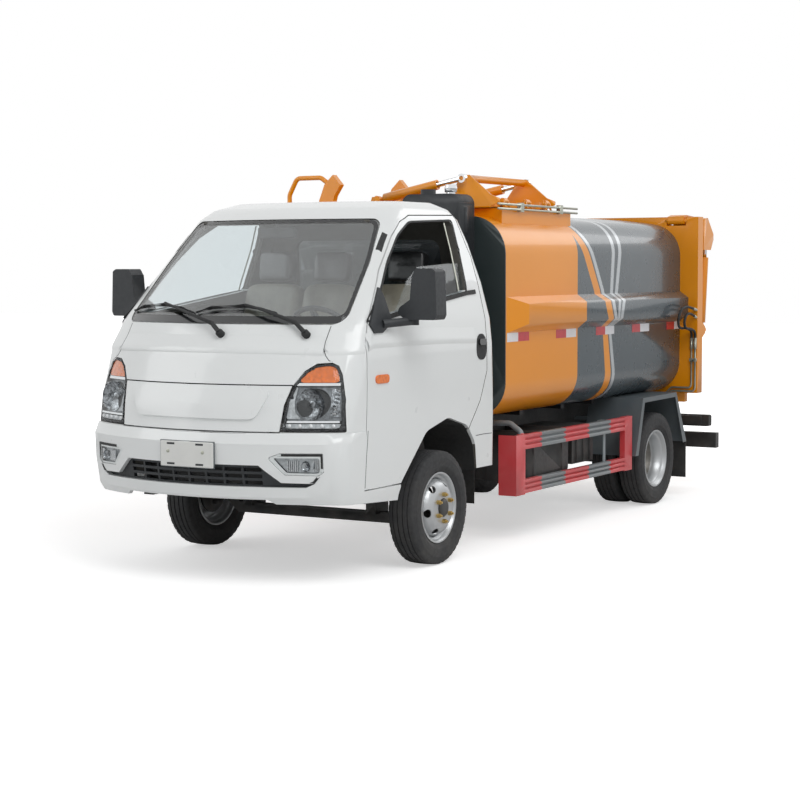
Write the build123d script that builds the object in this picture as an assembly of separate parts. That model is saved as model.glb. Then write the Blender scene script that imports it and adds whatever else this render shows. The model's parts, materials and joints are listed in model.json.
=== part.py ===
from build123d import *
import math
import os

# A small side-loading garbage truck, in millimetres. Y runs rearwards, X to the truck's left and Z up.
# The sizes below have y = 0 at the front axle. The export moves them so that the origin is
# at the middle of the whole truck, on the ground.

# Fits
SEAT_GAP = 0.3
RUN_GAP = 5.0
PLATE = 5.0

# Wheels
TYRE_RADIUS = 317.0
TYRE_HALF_WIDTH = 88.0
TREAD_HALF_WIDTH = 74.0
BEAD_RADIUS = 190.0
BEAD_HALF_WIDTH = 63.5
RIM_FLANGE_RADIUS = 196.5
RIM_WALL = 6.0
RIM_WELL_RADIUS = 168.0
WHEELBASE = 3065.0
FRONT_WHEEL_X = 749.0
KINGPIN_X = 680.0
REAR_OUTER_X = 755.0
TWIN_SPACING = 200.0
HUB_BORE = 25.0
NUT_COUNT = 6
NUT_CIRCLE = 66.0
STEER_DEGREES = 35.0

# Cab: plan sections, each an arc at the front with straight sides
CAB_ARC_RADIUS = 1413.0
CAB_CORNER_RADIUS = 130.0
CAB_REAR_CORNER = 60.0
CAB_WALL = 45.0
CAB_BOTTOM = 491.0
# columns: height, y of the front at the middle, half width, y of the rear wall
CAB_SECTIONS = (
    (491.0, -1165.0, 800.0, 712.0),
    (800.0, -1190.0, 815.0, 690.0),
    (936.0, -1167.0, 819.0, 680.0),
    (1037.0, -1130.0, 821.0, 672.0),
    (1205.0, -1075.0, 820.0, 666.0),
    (1348.0, -980.0, 808.0, 660.0),
    (1550.0, -765.0, 760.0, 645.0),
    (1771.0, -530.0, 693.0, 610.0),
    (1908.0, -384.0, 655.0, 550.0),
    (1965.0, -280.0, 620.0, 500.0),
    (2005.0, -110.0, 540.0, 440.0),
)
ARCH_INNER_X = 470.0
ARCH_BEND = 120.0
# wheel arch outline as y and z, open below
ARCH_OUTLINE = (
    (-410.0, 300.0), (-410.0, 470.0), (-130.0, 750.0), (110.0, 808.0), (340.0, 748.0),
    (440.0, 640.0), (472.0, 480.0), (472.0, 300.0),
)
LINER_THICK = 4.0
BUMPER_TOP = 800.0
BUMPER_WALL = 30.0
BUMPER_LEDGE = 85.0
BUMPER_END_Y = -772.0
BUMPER_TAIL_Y = -400.0
# columns: height, y of the front at the middle, half width
BUMPER_SECTIONS = (
    (396.0, -1150.0, 790.0),
    (470.0, -1205.0, 806.0),
    (611.0, -1230.0, 815.0),
    (745.0, -1235.0, 820.0),
    (800.0, -1205.0, 818.0),
)

# Doors: hinge on the skin's front edge, outline as y and z
DOOR_HINGE_X = 822.0
DOOR_HINGE_Y = -768.0
DOOR_GAP = 6.0
DOOR_REBATE = 14.0
DOOR_FRONT_Y = -762.0
DOOR_OUTLINE = (
    (DOOR_FRONT_Y, 491.0), (DOOR_FRONT_Y, 1240.0), (-715.0, 1345.0), (-469.0, 1624.0),
    (-272.0, 1805.0), (-154.0, 1885.0), (-34.0, 1921.0), (480.0, 1932.0), (555.0, 1703.0),
    (556.0, 1049.0), (480.0, 881.0), (380.0, 762.0), (300.0, 660.0), (300.0, 491.0),
)
DOOR_WINDOW = (
    (-712.0, 1366.0), (-560.0, 1484.0), (-386.0, 1668.0), (-217.0, 1806.0),
    (-60.0, 1882.0), (428.0, 1900.0), (428.0, 1740.0), (398.0, 1502.0),
)
DOOR_WINDOW_BEND = 28.0
DOOR_DEGREES = 65.0

# Front lid between the headlamps, on gooseneck hinges
LID_TOP_Z = 1037.0
LID_CORNER = 4.0
LID_SKIN = 5.0
GLASS_INSET = 4.0
BLADE_RADIUS = 7.0
LID_FRAME_DEPTH = 22.0
LID_HINGE_Y = -1020.0
LID_HINGE_Z = 1120.0
LID_ARM_X = 200.0
LID_DEGREES = 60.0
LAMP_GAP = 3.0
LAMP_REAR_Y = -883.0
# headlamp outline seen from the front, as x and z
LAMP_OUTLINE = (
    (503.0, 806.0), (515.0, 942.0), (537.0, 1037.0), (581.0, 1110.0), (632.0, 1147.0),
    (700.0, 1152.0), (729.0, 1137.0), (751.0, 1093.0), (782.0, 967.0), (794.0, 806.0),
)
SCREEN_OUTLINE = (
    (-708.0, 1345.0), (708.0, 1345.0), (664.0, 1668.0), (604.0, 1903.0), (-604.0, 1903.0), (-664.0, 1668.0),
)
SCREEN_BEND = 58.0

# Chassis
RAIL_X = 380.0
RAIL_WIDTH = 60.0
RAIL_BOTTOM = 500.0
RAIL_TOP = 640.0
RAIL_START_Y = -1080.0
RAIL_END_Y = 3925.0
BEARER_TOP = 712.0
BEARER_PLACES = (960.0, 1560.0, 2160.0, 2640.0, 3560.0)
TOW_FRONT = (-350.0, RAIL_START_Y + 25.0)
TOW_FRONT_Z = 446.0
TOW_REAR = (0.0, 3752.0)
TOW_REAR_Z = 565.0
GUARD_X = 840.0
GUARD_START_Y = 897.0
GUARD_END_Y = 2613.0
GUARD_TOP = 643.0
GUARD_BOTTOM = 283.0
UNDERRUN_REAR_Y = 4206.0

# Refuse body
BODY_HALF = 765.0
BODY_BOTTOM = 745.0
BODY_TOP = 1985.0
BODY_FRONT_Y = 905.0
BODY_REAR_Y = 3630.0
BODY_LOW_RADIUS = 215.0
BODY_HIGH_RADIUS = 230.0
BODY_CROWN = 3517.0
BODY_SPLIT_X = 550.0
FRAME_HALF = 900.0
FRAME_REAR_Y = 3725.0
FRAME_TOP = 1990.0
FRAME_LOW = 736.0

# Hopper on the roof, its lid and the lid's cylinders
COAMING_LEFT_X = 670.0
BAY_X = -480.0
COAMING_FRONT_Y = 1037.0
COAMING_REAR_Y = 1995.0
COAMING_TOP = 1990.0
DECK_FRONT_Y = 1790.0
LID_HINGE = (640.0, 2035.0)
CRANK_EYE = (440.0, 2170.0)
LID_CYLINDER_BASE = (-150.0, 2050.0)
HOPPER_DEGREES = 90.0
LID_CYLINDER_Y = (966.0, 1826.0)
LID_HINGE_PLACES = (1120.0, 1420.0, 1690.0)
CRANK_Y = (1014.0, 1776.0)

# Tailgate and its cylinders
TAIL_HINGE = (3640.0, 1965.0)
TAIL_EYE = (3844.0, 1806.0)
TAIL_CYLINDER_BASE = (3775.0, 1185.0)
TAIL_FRONT_Y = 3735.0
TAIL_DEGREES = 80.0
TAIL_CYLINDER_X = 868.0

# Hydraulic lines on the rear frame's front face: two steel pipes, and a hose above each
PIPE_RADIUS = 7.0
FITTING_RADIUS = 11.0
PIPE_X = (861.0, 888.0)
PIPE_LOW = (775.0, 750.0)
PIPE_Y = BODY_REAR_Y - FITTING_RADIUS - SEAT_GAP
FITTING_LOW = 1052.0
FITTING_TOP = 1132.0
HOSE_RADIUS = 9.0
UPPER_HOSE = (
    (890, 3572, 1340), (889, 3512, 1351), (887, 3444, 1356), (884, 3380, 1346), (881, 3332, 1308),
    (877, 3322, 1256), (872, 3350, 1216), (868, 3408, 1204), (866, 3484, 1206), (863, 3560, 1196),
    (861, PIPE_Y, 1176), (861, PIPE_Y, FITTING_TOP),
)
LOWER_HOSE = (
    (890, 3590, 1288), (890, 3546, 1301), (890, 3492, 1309), (890, 3446, 1300), (890, 3412, 1270),
    (889, 3406, 1236), (889, 3430, 1208), (889, 3472, 1200), (888, 3545, 1196), (888, PIPE_Y, 1176),
    (888, PIPE_Y, FITTING_TOP),
)

# Bin lifter on the right side
BAY_FRONT_Y = 1060.0
BAY_REAR_Y = 1940.0
BAY_BOTTOM = 790.0
LIFT_RAIL_OUTER_X = -640.0
LIFT_RAIL_WIDTH = 105.0
LIFT_RAIL_THICK = 46.0
LIFT_TRAVEL = 750.0
LIFT_GROOVE_EDGE = 22.0
ROLLER_RADIUS = LIFT_RAIL_WIDTH / 2 - LIFT_GROOVE_EDGE - SEAT_GAP

Y_MID = (min(row[1] for row in BUMPER_SECTIONS) + UNDERRUN_REAR_Y) / 2


# Small shape helpers

def block(x, y, z):
    """A box between two limits on each axis."""
    size = [high - low for low, high in (x, y, z)]
    centre = [(high + low) / 2 for low, high in (x, y, z)]
    return Pos(*centre) * Box(*size)


def spot(axis, along, point):
    """A 3-D point from a 2-D one on the plane across an axis."""
    a, b = point
    places = {"x": (along, a, b), "y": (a, along, b), "z": (a, b, along)}
    return places[axis]


def prism(points, axis, low, high, radius=0.0):
    """A polygon, with rounded corners or not, drawn across an axis and pulled along it."""
    corners = [spot(axis, low, point) for point in points]
    if radius:
        wire = Wire(FilletPolyline(*corners, radius=radius, close=True).edges())
    else:
        wire = Wire.make_polygon(corners, close=True)
    pull = Vector(*spot(axis, high - low, (0, 0)))
    return Solid.extrude(Face(wire), pull)


def cyl(axis, low, high, point, radius):
    """A cylinder along an axis."""
    turn = {"x": Rot(0, 90, 0), "y": Rot(90, 0, 0), "z": Rot(0, 0, 0)}[axis]
    centre = spot(axis, (low + high) / 2, point)
    return Pos(*centre) * turn * Cylinder(radius, high - low)


def tube(axis, low, high, point, radius, bore):
    return cyl(axis, low, high, point, radius) - cyl(axis, low - 1, high + 1, point, bore)


def rod(start, end, radius):
    """A round bar between two points."""
    line = Vector(*end) - Vector(*start)
    plane = Plane(origin=start, z_dir=line)
    return Solid.make_cylinder(radius, line.length, plane)


def pipe(points, radius, bends):
    """A round bar bent along straight runs with tangent arcs."""
    path = FilletPolyline(*points, radius=bends)
    start = Vector(*points[0])
    plane = Plane(origin=start, z_dir=Vector(*points[1]) - start)
    return sweep(plane * Circle(radius), path=path)


def lathe(points, x, y, z):
    """Turns a closed outline of (x, radius) pairs about an axis along X."""
    wire = Wire.make_polygon([(a, 0, b) for a, b in points], close=True)
    return Pos(x, y, z) * revolve(Face(wire), Axis.X, 360)


def flip(shape):
    """The same shape on the other side of the truck."""
    return mirror(shape, about=Plane.YZ)


def pair(shape):
    return [shape, flip(shape)]


def joined(shapes):
    total = shapes[0]
    for shape in shapes[1:]:
        total = total + shape
    return total


# Running gear

def tyre(x, y):
    """A closed ring with round side walls and a slightly crowned tread."""
    bead = RIM_FLANGE_RADIUS + 1.5
    shoulder = TYRE_RADIUS - 9
    wide = (TYRE_HALF_WIDTH, (bead + shoulder) / 2)
    edges = [
        Line((-BEAD_HALF_WIDTH, BEAD_RADIUS), (BEAD_HALF_WIDTH, BEAD_RADIUS)),
        Line((BEAD_HALF_WIDTH, BEAD_RADIUS), (BEAD_HALF_WIDTH, bead)),
        ThreePointArc((BEAD_HALF_WIDTH, bead), wide, (TREAD_HALF_WIDTH, shoulder)),
        ThreePointArc((TREAD_HALF_WIDTH, shoulder), (0, TYRE_RADIUS), (-TREAD_HALF_WIDTH, shoulder)),
        ThreePointArc((-TREAD_HALF_WIDTH, shoulder), (-wide[0], wide[1]), (-BEAD_HALF_WIDTH, bead)),
        Line((-BEAD_HALF_WIDTH, bead), (-BEAD_HALF_WIDTH, BEAD_RADIUS)),
    ]
    outline = Face(Wire([edge.edge() for edge in edges]))
    ring = revolve(outline, Axis.X, 360)
    return Pos(x, y, TYRE_RADIUS) * ring


def rim_barrel():
    seat = BEAD_RADIUS - SEAT_GAP
    flange = BEAD_HALF_WIDTH + SEAT_GAP
    half = [(flange + 4.2, RIM_FLANGE_RADIUS), (flange, RIM_FLANGE_RADIUS), (flange, seat),
            (38.0, seat), (28.0, RIM_WELL_RADIUS)]
    inside = [(flange + 4.2, seat - RIM_WALL), (38.0 + RIM_WALL, seat - RIM_WALL),
              (28.0 + RIM_WALL, RIM_WELL_RADIUS - RIM_WALL)]
    outer = half + [(-a, b) for a, b in reversed(half)]
    inner = [(-a, b) for a, b in inside] + list(reversed(inside))
    return lathe(outer + inner, 0, 0, 0)


def disc(profile, thick):
    """A dished wheel disc from an outline of (x, radius) pairs and its thickness."""
    back = [(a - thick, b) for a, b in reversed(profile)]
    return lathe(list(profile) + back, 0, 0, 0)


def around(shape, count, start=0.0):
    return [Rot(start + 360 / count * step, 0, 0) * shape for step in range(count)]


def wheel_nuts(x, length):
    nut = Pos(x + length / 2, 0, NUT_CIRCLE) * Rot(0, 90, 0) * extrude(RegularPolygon(11, 6), length / 2, both=True)
    return around(nut, NUT_COUNT, 30.0)


def front_rim():
    """Steel rim with hand holes and a domed hub in its middle."""
    barrel = rim_barrel()
    well = RIM_WELL_RADIUS - RIM_WALL + 1
    plate = disc(((6.0, well), (38.0, 148.0), (52.0, 122.0), (46.0, 96.0), (34.0, 84.0), (34.0, HUB_BORE)), 7.0)
    hole = Pos(0, 0, 130.0) * Rot(0, 90, 0) * Cylinder(17.0, 200)
    plate = plate - around(hole, NUT_COUNT)
    hub = lathe(((-22.0, HUB_BORE + SEAT_GAP), (-22.0, 100.0), (27.5, 100.0), (27.5, 48.0), (70.0, 40.0),
                 (74.0, 0.0), (66.0, 0.0), (66.0, HUB_BORE + SEAT_GAP)), 0, 0, 0)
    return joined([barrel, plate, hub] + wheel_nuts(33.0, 22.0))


def twin_rim():
    """Deep-dished rim, its disc reaching past the rim's edge to meet its twin."""
    barrel = rim_barrel()
    well = RIM_WELL_RADIUS - RIM_WALL + 1
    reach = TWIN_SPACING / 2
    plate = disc(((-20.0, well), (-58.0, 150.0), (-84.0, 122.0), (-reach + 8, 104.0), (-reach + 8, 44.0)), 8.0)
    hole = Pos(0, 0, 132.0) * Rot(0, 90, 0) * Cylinder(15.0, 260)
    return barrel + (plate - around(hole, NUT_COUNT))


def wheels():
    """Tyres and rims by body name."""
    nodes = {}
    front = Pos(FRONT_WHEEL_X, 0, TYRE_RADIUS) * front_rim()
    inner_x = REAR_OUTER_X - TWIN_SPACING
    outer_rim = Pos(REAR_OUTER_X, WHEELBASE, TYRE_RADIUS) * twin_rim()
    inner_rim = Pos(inner_x, WHEELBASE, TYRE_RADIUS) * flip(twin_rim())
    middle = (REAR_OUTER_X + inner_x) / 2
    hub = lathe(((-70.0, HUB_BORE + SEAT_GAP), (-70.0, 43.0), (30.0, 43.0), (42.0, 34.0), (46.0, 0.0),
                 (38.0, 0.0), (38.0, HUB_BORE + SEAT_GAP)), middle, WHEELBASE, TYRE_RADIUS)
    nuts = [Pos(middle, WHEELBASE, TYRE_RADIUS) * nut for nut in wheel_nuts(7.0, 22.0)]
    outer = joined([outer_rim] + nuts)
    nodes["tyre_front_left"] = [tyre(FRONT_WHEEL_X, 0)]
    nodes["rim_front_left"] = [front]
    nodes["tyres_rear_left"] = [tyre(REAR_OUTER_X, WHEELBASE), tyre(inner_x, WHEELBASE)]
    nodes["rims_rear_left"] = [outer, inner_rim, hub]
    for name in list(nodes):
        nodes[name.replace("left", "right")] = [flip(shape) for shape in nodes[name]]
    return nodes


def knuckle():
    """Forked stub axle on its kingpin, with the brake's backing plate."""
    pin = (KINGPIN_X, 0.0)
    ear_low = cyl("z", TYRE_RADIUS - 70, TYRE_RADIUS - 42, pin, 30.0)
    ear_high = cyl("z", TYRE_RADIUS + 42, TYRE_RADIUS + 70, pin, 30.0)
    web = block((KINGPIN_X + 10, KINGPIN_X + 40), (-28, 28), (TYRE_RADIUS - 70, TYRE_RADIUS + 70))
    relief = cyl("z", TYRE_RADIUS - 42, TYRE_RADIUS + 42, pin, 36.0)
    plate = cyl("x", KINGPIN_X + 34, KINGPIN_X + 42, (0, TYRE_RADIUS), 120.0)
    spindle = cyl("x", KINGPIN_X + 34, FRONT_WHEEL_X + 60, (0, TYRE_RADIUS), HUB_BORE)
    kingpin = cyl("z", TYRE_RADIUS - 70, TYRE_RADIUS + 70, pin, 12.0)
    return joined([ear_low, ear_high, (web - relief), plate, spindle, kingpin])


def front_axle():
    """Dropped beam with an eye at each end and pads under the springs."""
    half = 40.0
    low = TYRE_RADIUS - 105
    beam = prism(((-KINGPIN_X, TYRE_RADIUS - 30), (-600, TYRE_RADIUS - 30), (-520, low), (520, low),
                  (600, TYRE_RADIUS - 30), (KINGPIN_X, TYRE_RADIUS - 30), (KINGPIN_X, TYRE_RADIUS + 30),
                  (590, TYRE_RADIUS + 30), (505, low + 60), (-505, low + 60), (-590, TYRE_RADIUS + 30),
                  (-KINGPIN_X, TYRE_RADIUS + 30)), "y", -22, 22)
    eyes = pair(cyl("z", TYRE_RADIUS - 37, TYRE_RADIUS + 37, (KINGPIN_X, 0), 30.0))
    bores = pair(cyl("z", 0, 600, (KINGPIN_X, 0), 12.0 + SEAT_GAP))
    pads = pair(block((386, 450), (-half - 30, half + 30), (low + 50, TYRE_RADIUS + 15)))
    return [joined([beam] + eyes + pads) - bores]


def rear_axle():
    """Banjo housing with its round middle and the two stub ends."""
    z = TYRE_RADIUS
    housing = cyl("x", -560, 560, (WHEELBASE, z), 48.0)
    middle = cyl("x", -70, 70, (WHEELBASE, z), 150.0)
    nose = cyl("y", WHEELBASE - 240, WHEELBASE, (0, z), 70.0)
    stub = cyl("x", -(REAR_OUTER_X - 66), REAR_OUTER_X - 66, (WHEELBASE, z), HUB_BORE)
    pads = pair(block((386, 450), (WHEELBASE - 70, WHEELBASE + 70), (z, z + 66)))
    return [joined([housing, middle, nose, stub] + pads)]


def leaf_springs():
    """Leaf packs, longest leaf on top, with eyes at the hangers."""
    springs = []
    # columns: y of the axle, half length, z of the pack's underside
    rows = ((0.0, 520.0, TYRE_RADIUS + 15.3), (WHEELBASE, 600.0, TYRE_RADIUS + 66.3))
    for y, half, z in rows:
        leaves = []
        for step, share in enumerate((0.35, 0.55, 0.75, 1.0)):
            bottom = z + 11 * step
            reach = half * share
            leaves.append(block((388, 448), (y - reach, y + reach), (bottom, bottom + 11)))
        hangers = []
        for end in (y - half, y + half):
            top = RAIL_BOTTOM + 60
            hangers.append(block((RAIL_X + SEAT_GAP, 448), (end - 25, end + 25), (z + 33, top)))
        springs += pair(joined(leaves + hangers))
    return springs


# Chassis

def chassis_frame():
    """Ladder frame: two channels, open to the inside, and its cross members."""
    inner = RAIL_X - RAIL_WIDTH
    wall = 6.0
    rail = block((inner, RAIL_X), (RAIL_START_Y, RAIL_END_Y), (RAIL_BOTTOM, RAIL_TOP))
    rail = rail - block((inner - 1, RAIL_X - wall), (RAIL_START_Y - 1, RAIL_END_Y + 1),
                        (RAIL_BOTTOM + wall, RAIL_TOP - wall))
    members = []
    # columns: y of the middle, underside, top
    rows = ((-1000.0, 520.0, 620.0), (-420.0, 506.0, 560.0), (1130.0, 575.0, 634.0),
            (1800.0, 575.0, 634.0), (2440.0, 560.0, 634.0), (3660.0, 520.0, 620.0))
    for y, low, high in rows:
        members.append(block((-RAIL_X + wall, RAIL_X - wall), (y - 30, y + 30), (low, high)))
    ends = pair(block((inner, RAIL_X), (RAIL_END_Y, RAIL_END_Y + 6), (RAIL_BOTTOM - 30, RAIL_TOP)))
    return [joined([rail, flip(rail)] + members + ends)]


def subframe():
    """Long bearers on the chassis rails, and cross bearers on top that carry the refuse body."""
    inner = RAIL_X - RAIL_WIDTH
    bearer = block((inner, RAIL_X), (BODY_FRONT_Y, BODY_REAR_Y - SEAT_GAP), (RAIL_TOP + SEAT_GAP, BEARER_TOP))
    cross = []
    for y in BEARER_PLACES:
        cross.append(block((-540, 540), (y - 25, y + 25), (BEARER_TOP + SEAT_GAP, BODY_BOTTOM - SEAT_GAP)))
    return pair(bearer) + cross


def engine_block():
    """Engine, sump and gearbox as plain blocks, hung from the rails by two mounts."""
    block_part = block((-230, 230), (-240, 480), (430, 790))
    sump = block((-150, 150), (-180, 360), (330, 430 - SEAT_GAP))
    gearbox = block((-150, 150), (480 + SEAT_GAP, 1000), (420, 640))
    mounts = pair(block((230 + SEAT_GAP, RAIL_X - RAIL_WIDTH - SEAT_GAP), (60, 140), (560, 630)))
    return [block_part, sump, gearbox] + mounts


def propeller_shaft():
    start = (0, 1000 + SEAT_GAP, 530)
    end = (0, WHEELBASE - 240 - SEAT_GAP, TYRE_RADIUS + 10)
    shaft = rod((0, 1030, 525), (0, WHEELBASE - 275, TYRE_RADIUS + 12), 34.0)
    front = cyl("y", start[1], 1060, (0, 524), 55.0)
    rear = cyl("y", WHEELBASE - 300, end[1], (0, TYRE_RADIUS + 10), 55.0)
    return [joined([shaft, front, rear])]


def fuel_tank():
    """Rounded tank on two straps under the left rail."""
    tank = block((450, 770), (1180, 1760), (330, 620))
    tank = fillet(tank.edges().filter_by(Axis.Y), 50)
    straps = []
    for y in (1270.0, 1670.0):
        strap = block((RAIL_X + SEAT_GAP, 774), (y - 20, y + 20), (326, 636))
        inside = block((454, 766), (y - 30, y + 30), (334, 616))
        strap = strap - inside
        straps.append(strap)
    return [joined([tank] + straps)]


def battery_box():
    box = block((RAIL_X + SEAT_GAP, 740), (1880, 2200), (380, 620))
    ribs = [block((740, 748), (y - 8, y + 8), (390, 610)) for y in (1940.0, 2040.0, 2140.0)]
    return [joined([box] + ribs)]


def exhaust_silencer():
    body = cyl("y", 1000, 1620, (-540, 430), 105.0)
    tail = pipe(((-540, 1600, 430), (-540, 1850, 430), (-700, 2050, 430), (-700, 2250, 430)), 28.0, 60.0)
    straps = []
    for y in (1100.0, 1520.0):
        straps.append(block((-560, -RAIL_X - SEAT_GAP), (y - 15, y + 15), (500, 560)))
    return [joined([body, tail] + straps)]


def side_guards():
    """Two ribbed rails and two posts on each side, on bent tube brackets from the chassis."""
    depth = 36.0
    inner = GUARD_X - depth
    parts = []
    for low, high in ((554.0, 640.0), (290.0, 371.0)):
        middle = (low + high) / 2
        section = ((inner, low), (GUARD_X, low), (GUARD_X, low + 18), (GUARD_X - 14, low + 26),
                   (GUARD_X - 14, middle - 14), (GUARD_X, middle - 6), (GUARD_X, middle + 6),
                   (GUARD_X - 14, middle + 14), (GUARD_X - 14, high - 26), (GUARD_X, high - 18),
                   (GUARD_X, high), (inner, high))
        parts.append(prism(section, "y", GUARD_START_Y + 4, GUARD_END_Y - 120))
    parts.append(block((GUARD_X - 119, GUARD_X), (GUARD_START_Y, GUARD_START_Y + 5), (GUARD_BOTTOM, GUARD_TOP)))
    parts.append(block((GUARD_X - 6, GUARD_X), (GUARD_START_Y, GUARD_START_Y + 120), (GUARD_BOTTOM, GUARD_TOP)))
    parts.append(block((inner, GUARD_X), (GUARD_END_Y - 120, GUARD_END_Y), (GUARD_BOTTOM, GUARD_TOP)))
    parts.append(block((inner, inner + 6), (2214, 2246), (371, 554)))
    tube_radius = 17.0
    for y in (1066.0, 2230.0):
        foot_x = inner - tube_radius
        root = (RAIL_X + SEAT_GAP, y + 25, 698)
        parts.append(pipe(((foot_x, y, 560), (foot_x, y, 650), (700, y + 25, 698), root), tube_radius, 40.0))
        parts.append(block((foot_x - tube_radius, inner), (y - 28, y + 28), (560, 640)))
    return pair(joined(parts))


def rear_fenders():
    """Sheet guard over each pair of rear wheels, with a turned lip and a rubber flap behind."""
    outline = ((2620, 371), (2741, 754), (3332, 760), (3526, 398))
    wall = 4.0
    inset = ((2620 + wall + 1, 370), (2744, 750), (3329, 756), (3521, 397))
    shell = prism(outline, "x", 470, 865) - prism(inset, "x", 460, 861 + 10)
    lip_cut = prism(((2665, 360), (2772, 722), (3312, 728), (3480, 360)), "x", 460, 880)
    lip = prism(outline, "x", 861, 865) - lip_cut
    flap = block((560, 860), (3524, 3530), (143, 420))
    stays = []
    for y in (2703.0, 3408.0):
        stays.append(block((RAIL_X + SEAT_GAP, 480), (y - 14, y + 14), (596, 620)))
    guard = joined([shell, lip, flap] + stays)
    return pair(guard - body_solid(-SEAT_GAP, 800, 3700))


def underrun_bar():
    """Bumper bar under the tail on two arms, and the cross bar that carries the lamps."""
    bar = block((-850, 850), (UNDERRUN_REAR_Y - 60, UNDERRUN_REAR_Y), (298, 410))
    arms = []
    for side in (-1, 1):
        x = (RAIL_X - RAIL_WIDTH, RAIL_X - 10) if side > 0 else (-RAIL_X + 10, -RAIL_X + RAIL_WIDTH)
        outline = ((RAIL_END_Y + 6.3, 480), (RAIL_END_Y + 6.3, 630), (RAIL_END_Y + 60, 630),
                   (UNDERRUN_REAR_Y - 20, 410), (UNDERRUN_REAR_Y - 59, 300), (UNDERRUN_REAR_Y - 90, 330))
        arms.append(prism(outline, "x", *x))
    lamp_bar = block((-800, 800), (RAIL_END_Y + 40, RAIL_END_Y + 70), (480, 545))
    return [joined([bar] + arms + [lamp_bar])]


def rear_lamps():
    y = RAIL_END_Y + 70 + SEAT_GAP
    lamp = fillet(block((590, 850), (y, y + 60), (469, 552)).edges().filter_by(Axis.Y), 12)
    return pair(lamp)


# Cab

def cab_size(z, sections=CAB_SECTIONS):
    """Front, half width and rear at a height, between the two nearest rows."""
    for low, high in zip(sections, sections[1:]):
        if z <= high[0]:
            share = (z - low[0]) / (high[0] - low[0])
            return [a + (b - a) * share for a, b in zip(low[1:], high[1:])]
    return list(sections[-1][1:])


def plan_wire(z, front, half, rear, inset=0.0):
    """Closed plan outline: front arc, round corners, straight sides and rear."""
    radius = CAB_ARC_RADIUS - inset
    corner = CAB_CORNER_RADIUS - inset
    back = max(CAB_REAR_CORNER - inset, 12.0)
    front = front + inset
    half = half - inset
    rear = rear - inset
    centre_y = front + radius
    fillet_y = centre_y - math.sqrt((radius - corner) ** 2 - (half - corner) ** 2)
    reach = radius / (radius - corner)
    meet = ((half - corner) * reach, centre_y + (fillet_y - centre_y) * reach)
    angle = (math.atan2(meet[1] - fillet_y, meet[0] - half + corner)) / 2
    bend = (half - corner + corner * math.cos(angle), fillet_y + corner * math.sin(angle))
    low = back * (1 - math.sqrt(0.5))
    edges = [
        ThreePointArc((-meet[0], meet[1], z), (0, front, z), (meet[0], meet[1], z)),
        ThreePointArc((meet[0], meet[1], z), (bend[0], bend[1], z), (half, fillet_y, z)),
        Line((half, fillet_y, z), (half, rear - back, z)),
        ThreePointArc((half, rear - back, z), (half - low, rear - low, z), (half - back, rear, z)),
        Line((half - back, rear, z), (back - half, rear, z)),
        ThreePointArc((back - half, rear, z), (low - half, rear - low, z), (-half, rear - back, z)),
        Line((-half, rear - back, z), (-half, fillet_y, z)),
        ThreePointArc((-half, fillet_y, z), (-bend[0], bend[1], z), (-meet[0], meet[1], z)),
    ]
    return Wire([edge.edge() for edge in edges])


def cab_solid(inset=0.0, bottom=CAB_BOTTOM):
    """The cab's outer form, moved in by an inset on every side but its open bottom."""
    top = CAB_SECTIONS[-1][0] - inset
    heights = [row[0] for row in CAB_SECTIONS if row[0] < top - 1]
    heights[0] = bottom
    heights.append(top)
    wires = [plan_wire(z, *cab_size(max(z, CAB_BOTTOM)), inset) for z in heights]
    return Solid.make_loft(wires, True)


def bumper_solid(inset=0.0):
    rows = [list(row) for row in BUMPER_SECTIONS]
    if inset:
        rows[0][0] -= 1
        rows[-1][0] -= 6.0
    wires = [plan_wire(z, front, half, 0.0, inset) for z, front, half in rows]
    return Solid.make_loft(wires, True)


def arch_cut(shrink=0.0, outer_x=1000.0):
    """The rounded space over each front wheel, open below."""
    return pair(prism(grown(ARCH_OUTLINE, -shrink), "x", ARCH_INNER_X + shrink, outer_x, ARCH_BEND))


def grown(points, amount):
    """A polygon moved outwards by an amount, for the gap round a panel."""
    ahead = list(points[1:]) + [points[0]]
    area = sum(a[0] * b[1] - b[0] * a[1] for a, b in zip(points, ahead))
    turn = amount if area > 0 else -amount
    moved = []
    for index, (x, y) in enumerate(points):
        before = points[index - 1]
        after = ahead[index]
        one = (Vector(x, y) - Vector(*before)).normalized()
        two = (Vector(*after) - Vector(x, y)).normalized()
        out = Vector(one.Y + two.Y, -one.X - two.X)
        scale = turn * 2 / out.length ** 2
        moved.append((x + out.X * scale, y + out.Y * scale))
    return moved


def side_prism(points, radius=0.0):
    """Cuts both sides of the cab at once."""
    return prism(points, "x", 300, 1100, radius)


REAR_WINDOW_OUTLINE = ((-520, 1420), (520, 1420), (500, 1800), (-500, 1800))


def lid_outline(gap=0.0):
    """The lid's edges run along the headlamps' inner edges, a panel gap away."""
    side = [[x - DOOR_GAP + gap, z] for x, z in LAMP_OUTLINE[:3]]
    side[0][1] = BUMPER_TOP + 6 - 2 * gap
    side[-1][1] = LID_TOP_Z + gap
    return side + [[-x, z] for x, z in reversed(side)]


def front_prism(points, radius=0.0, rear=-600.0):
    return prism(points, "y", -1400, rear, radius)


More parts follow.
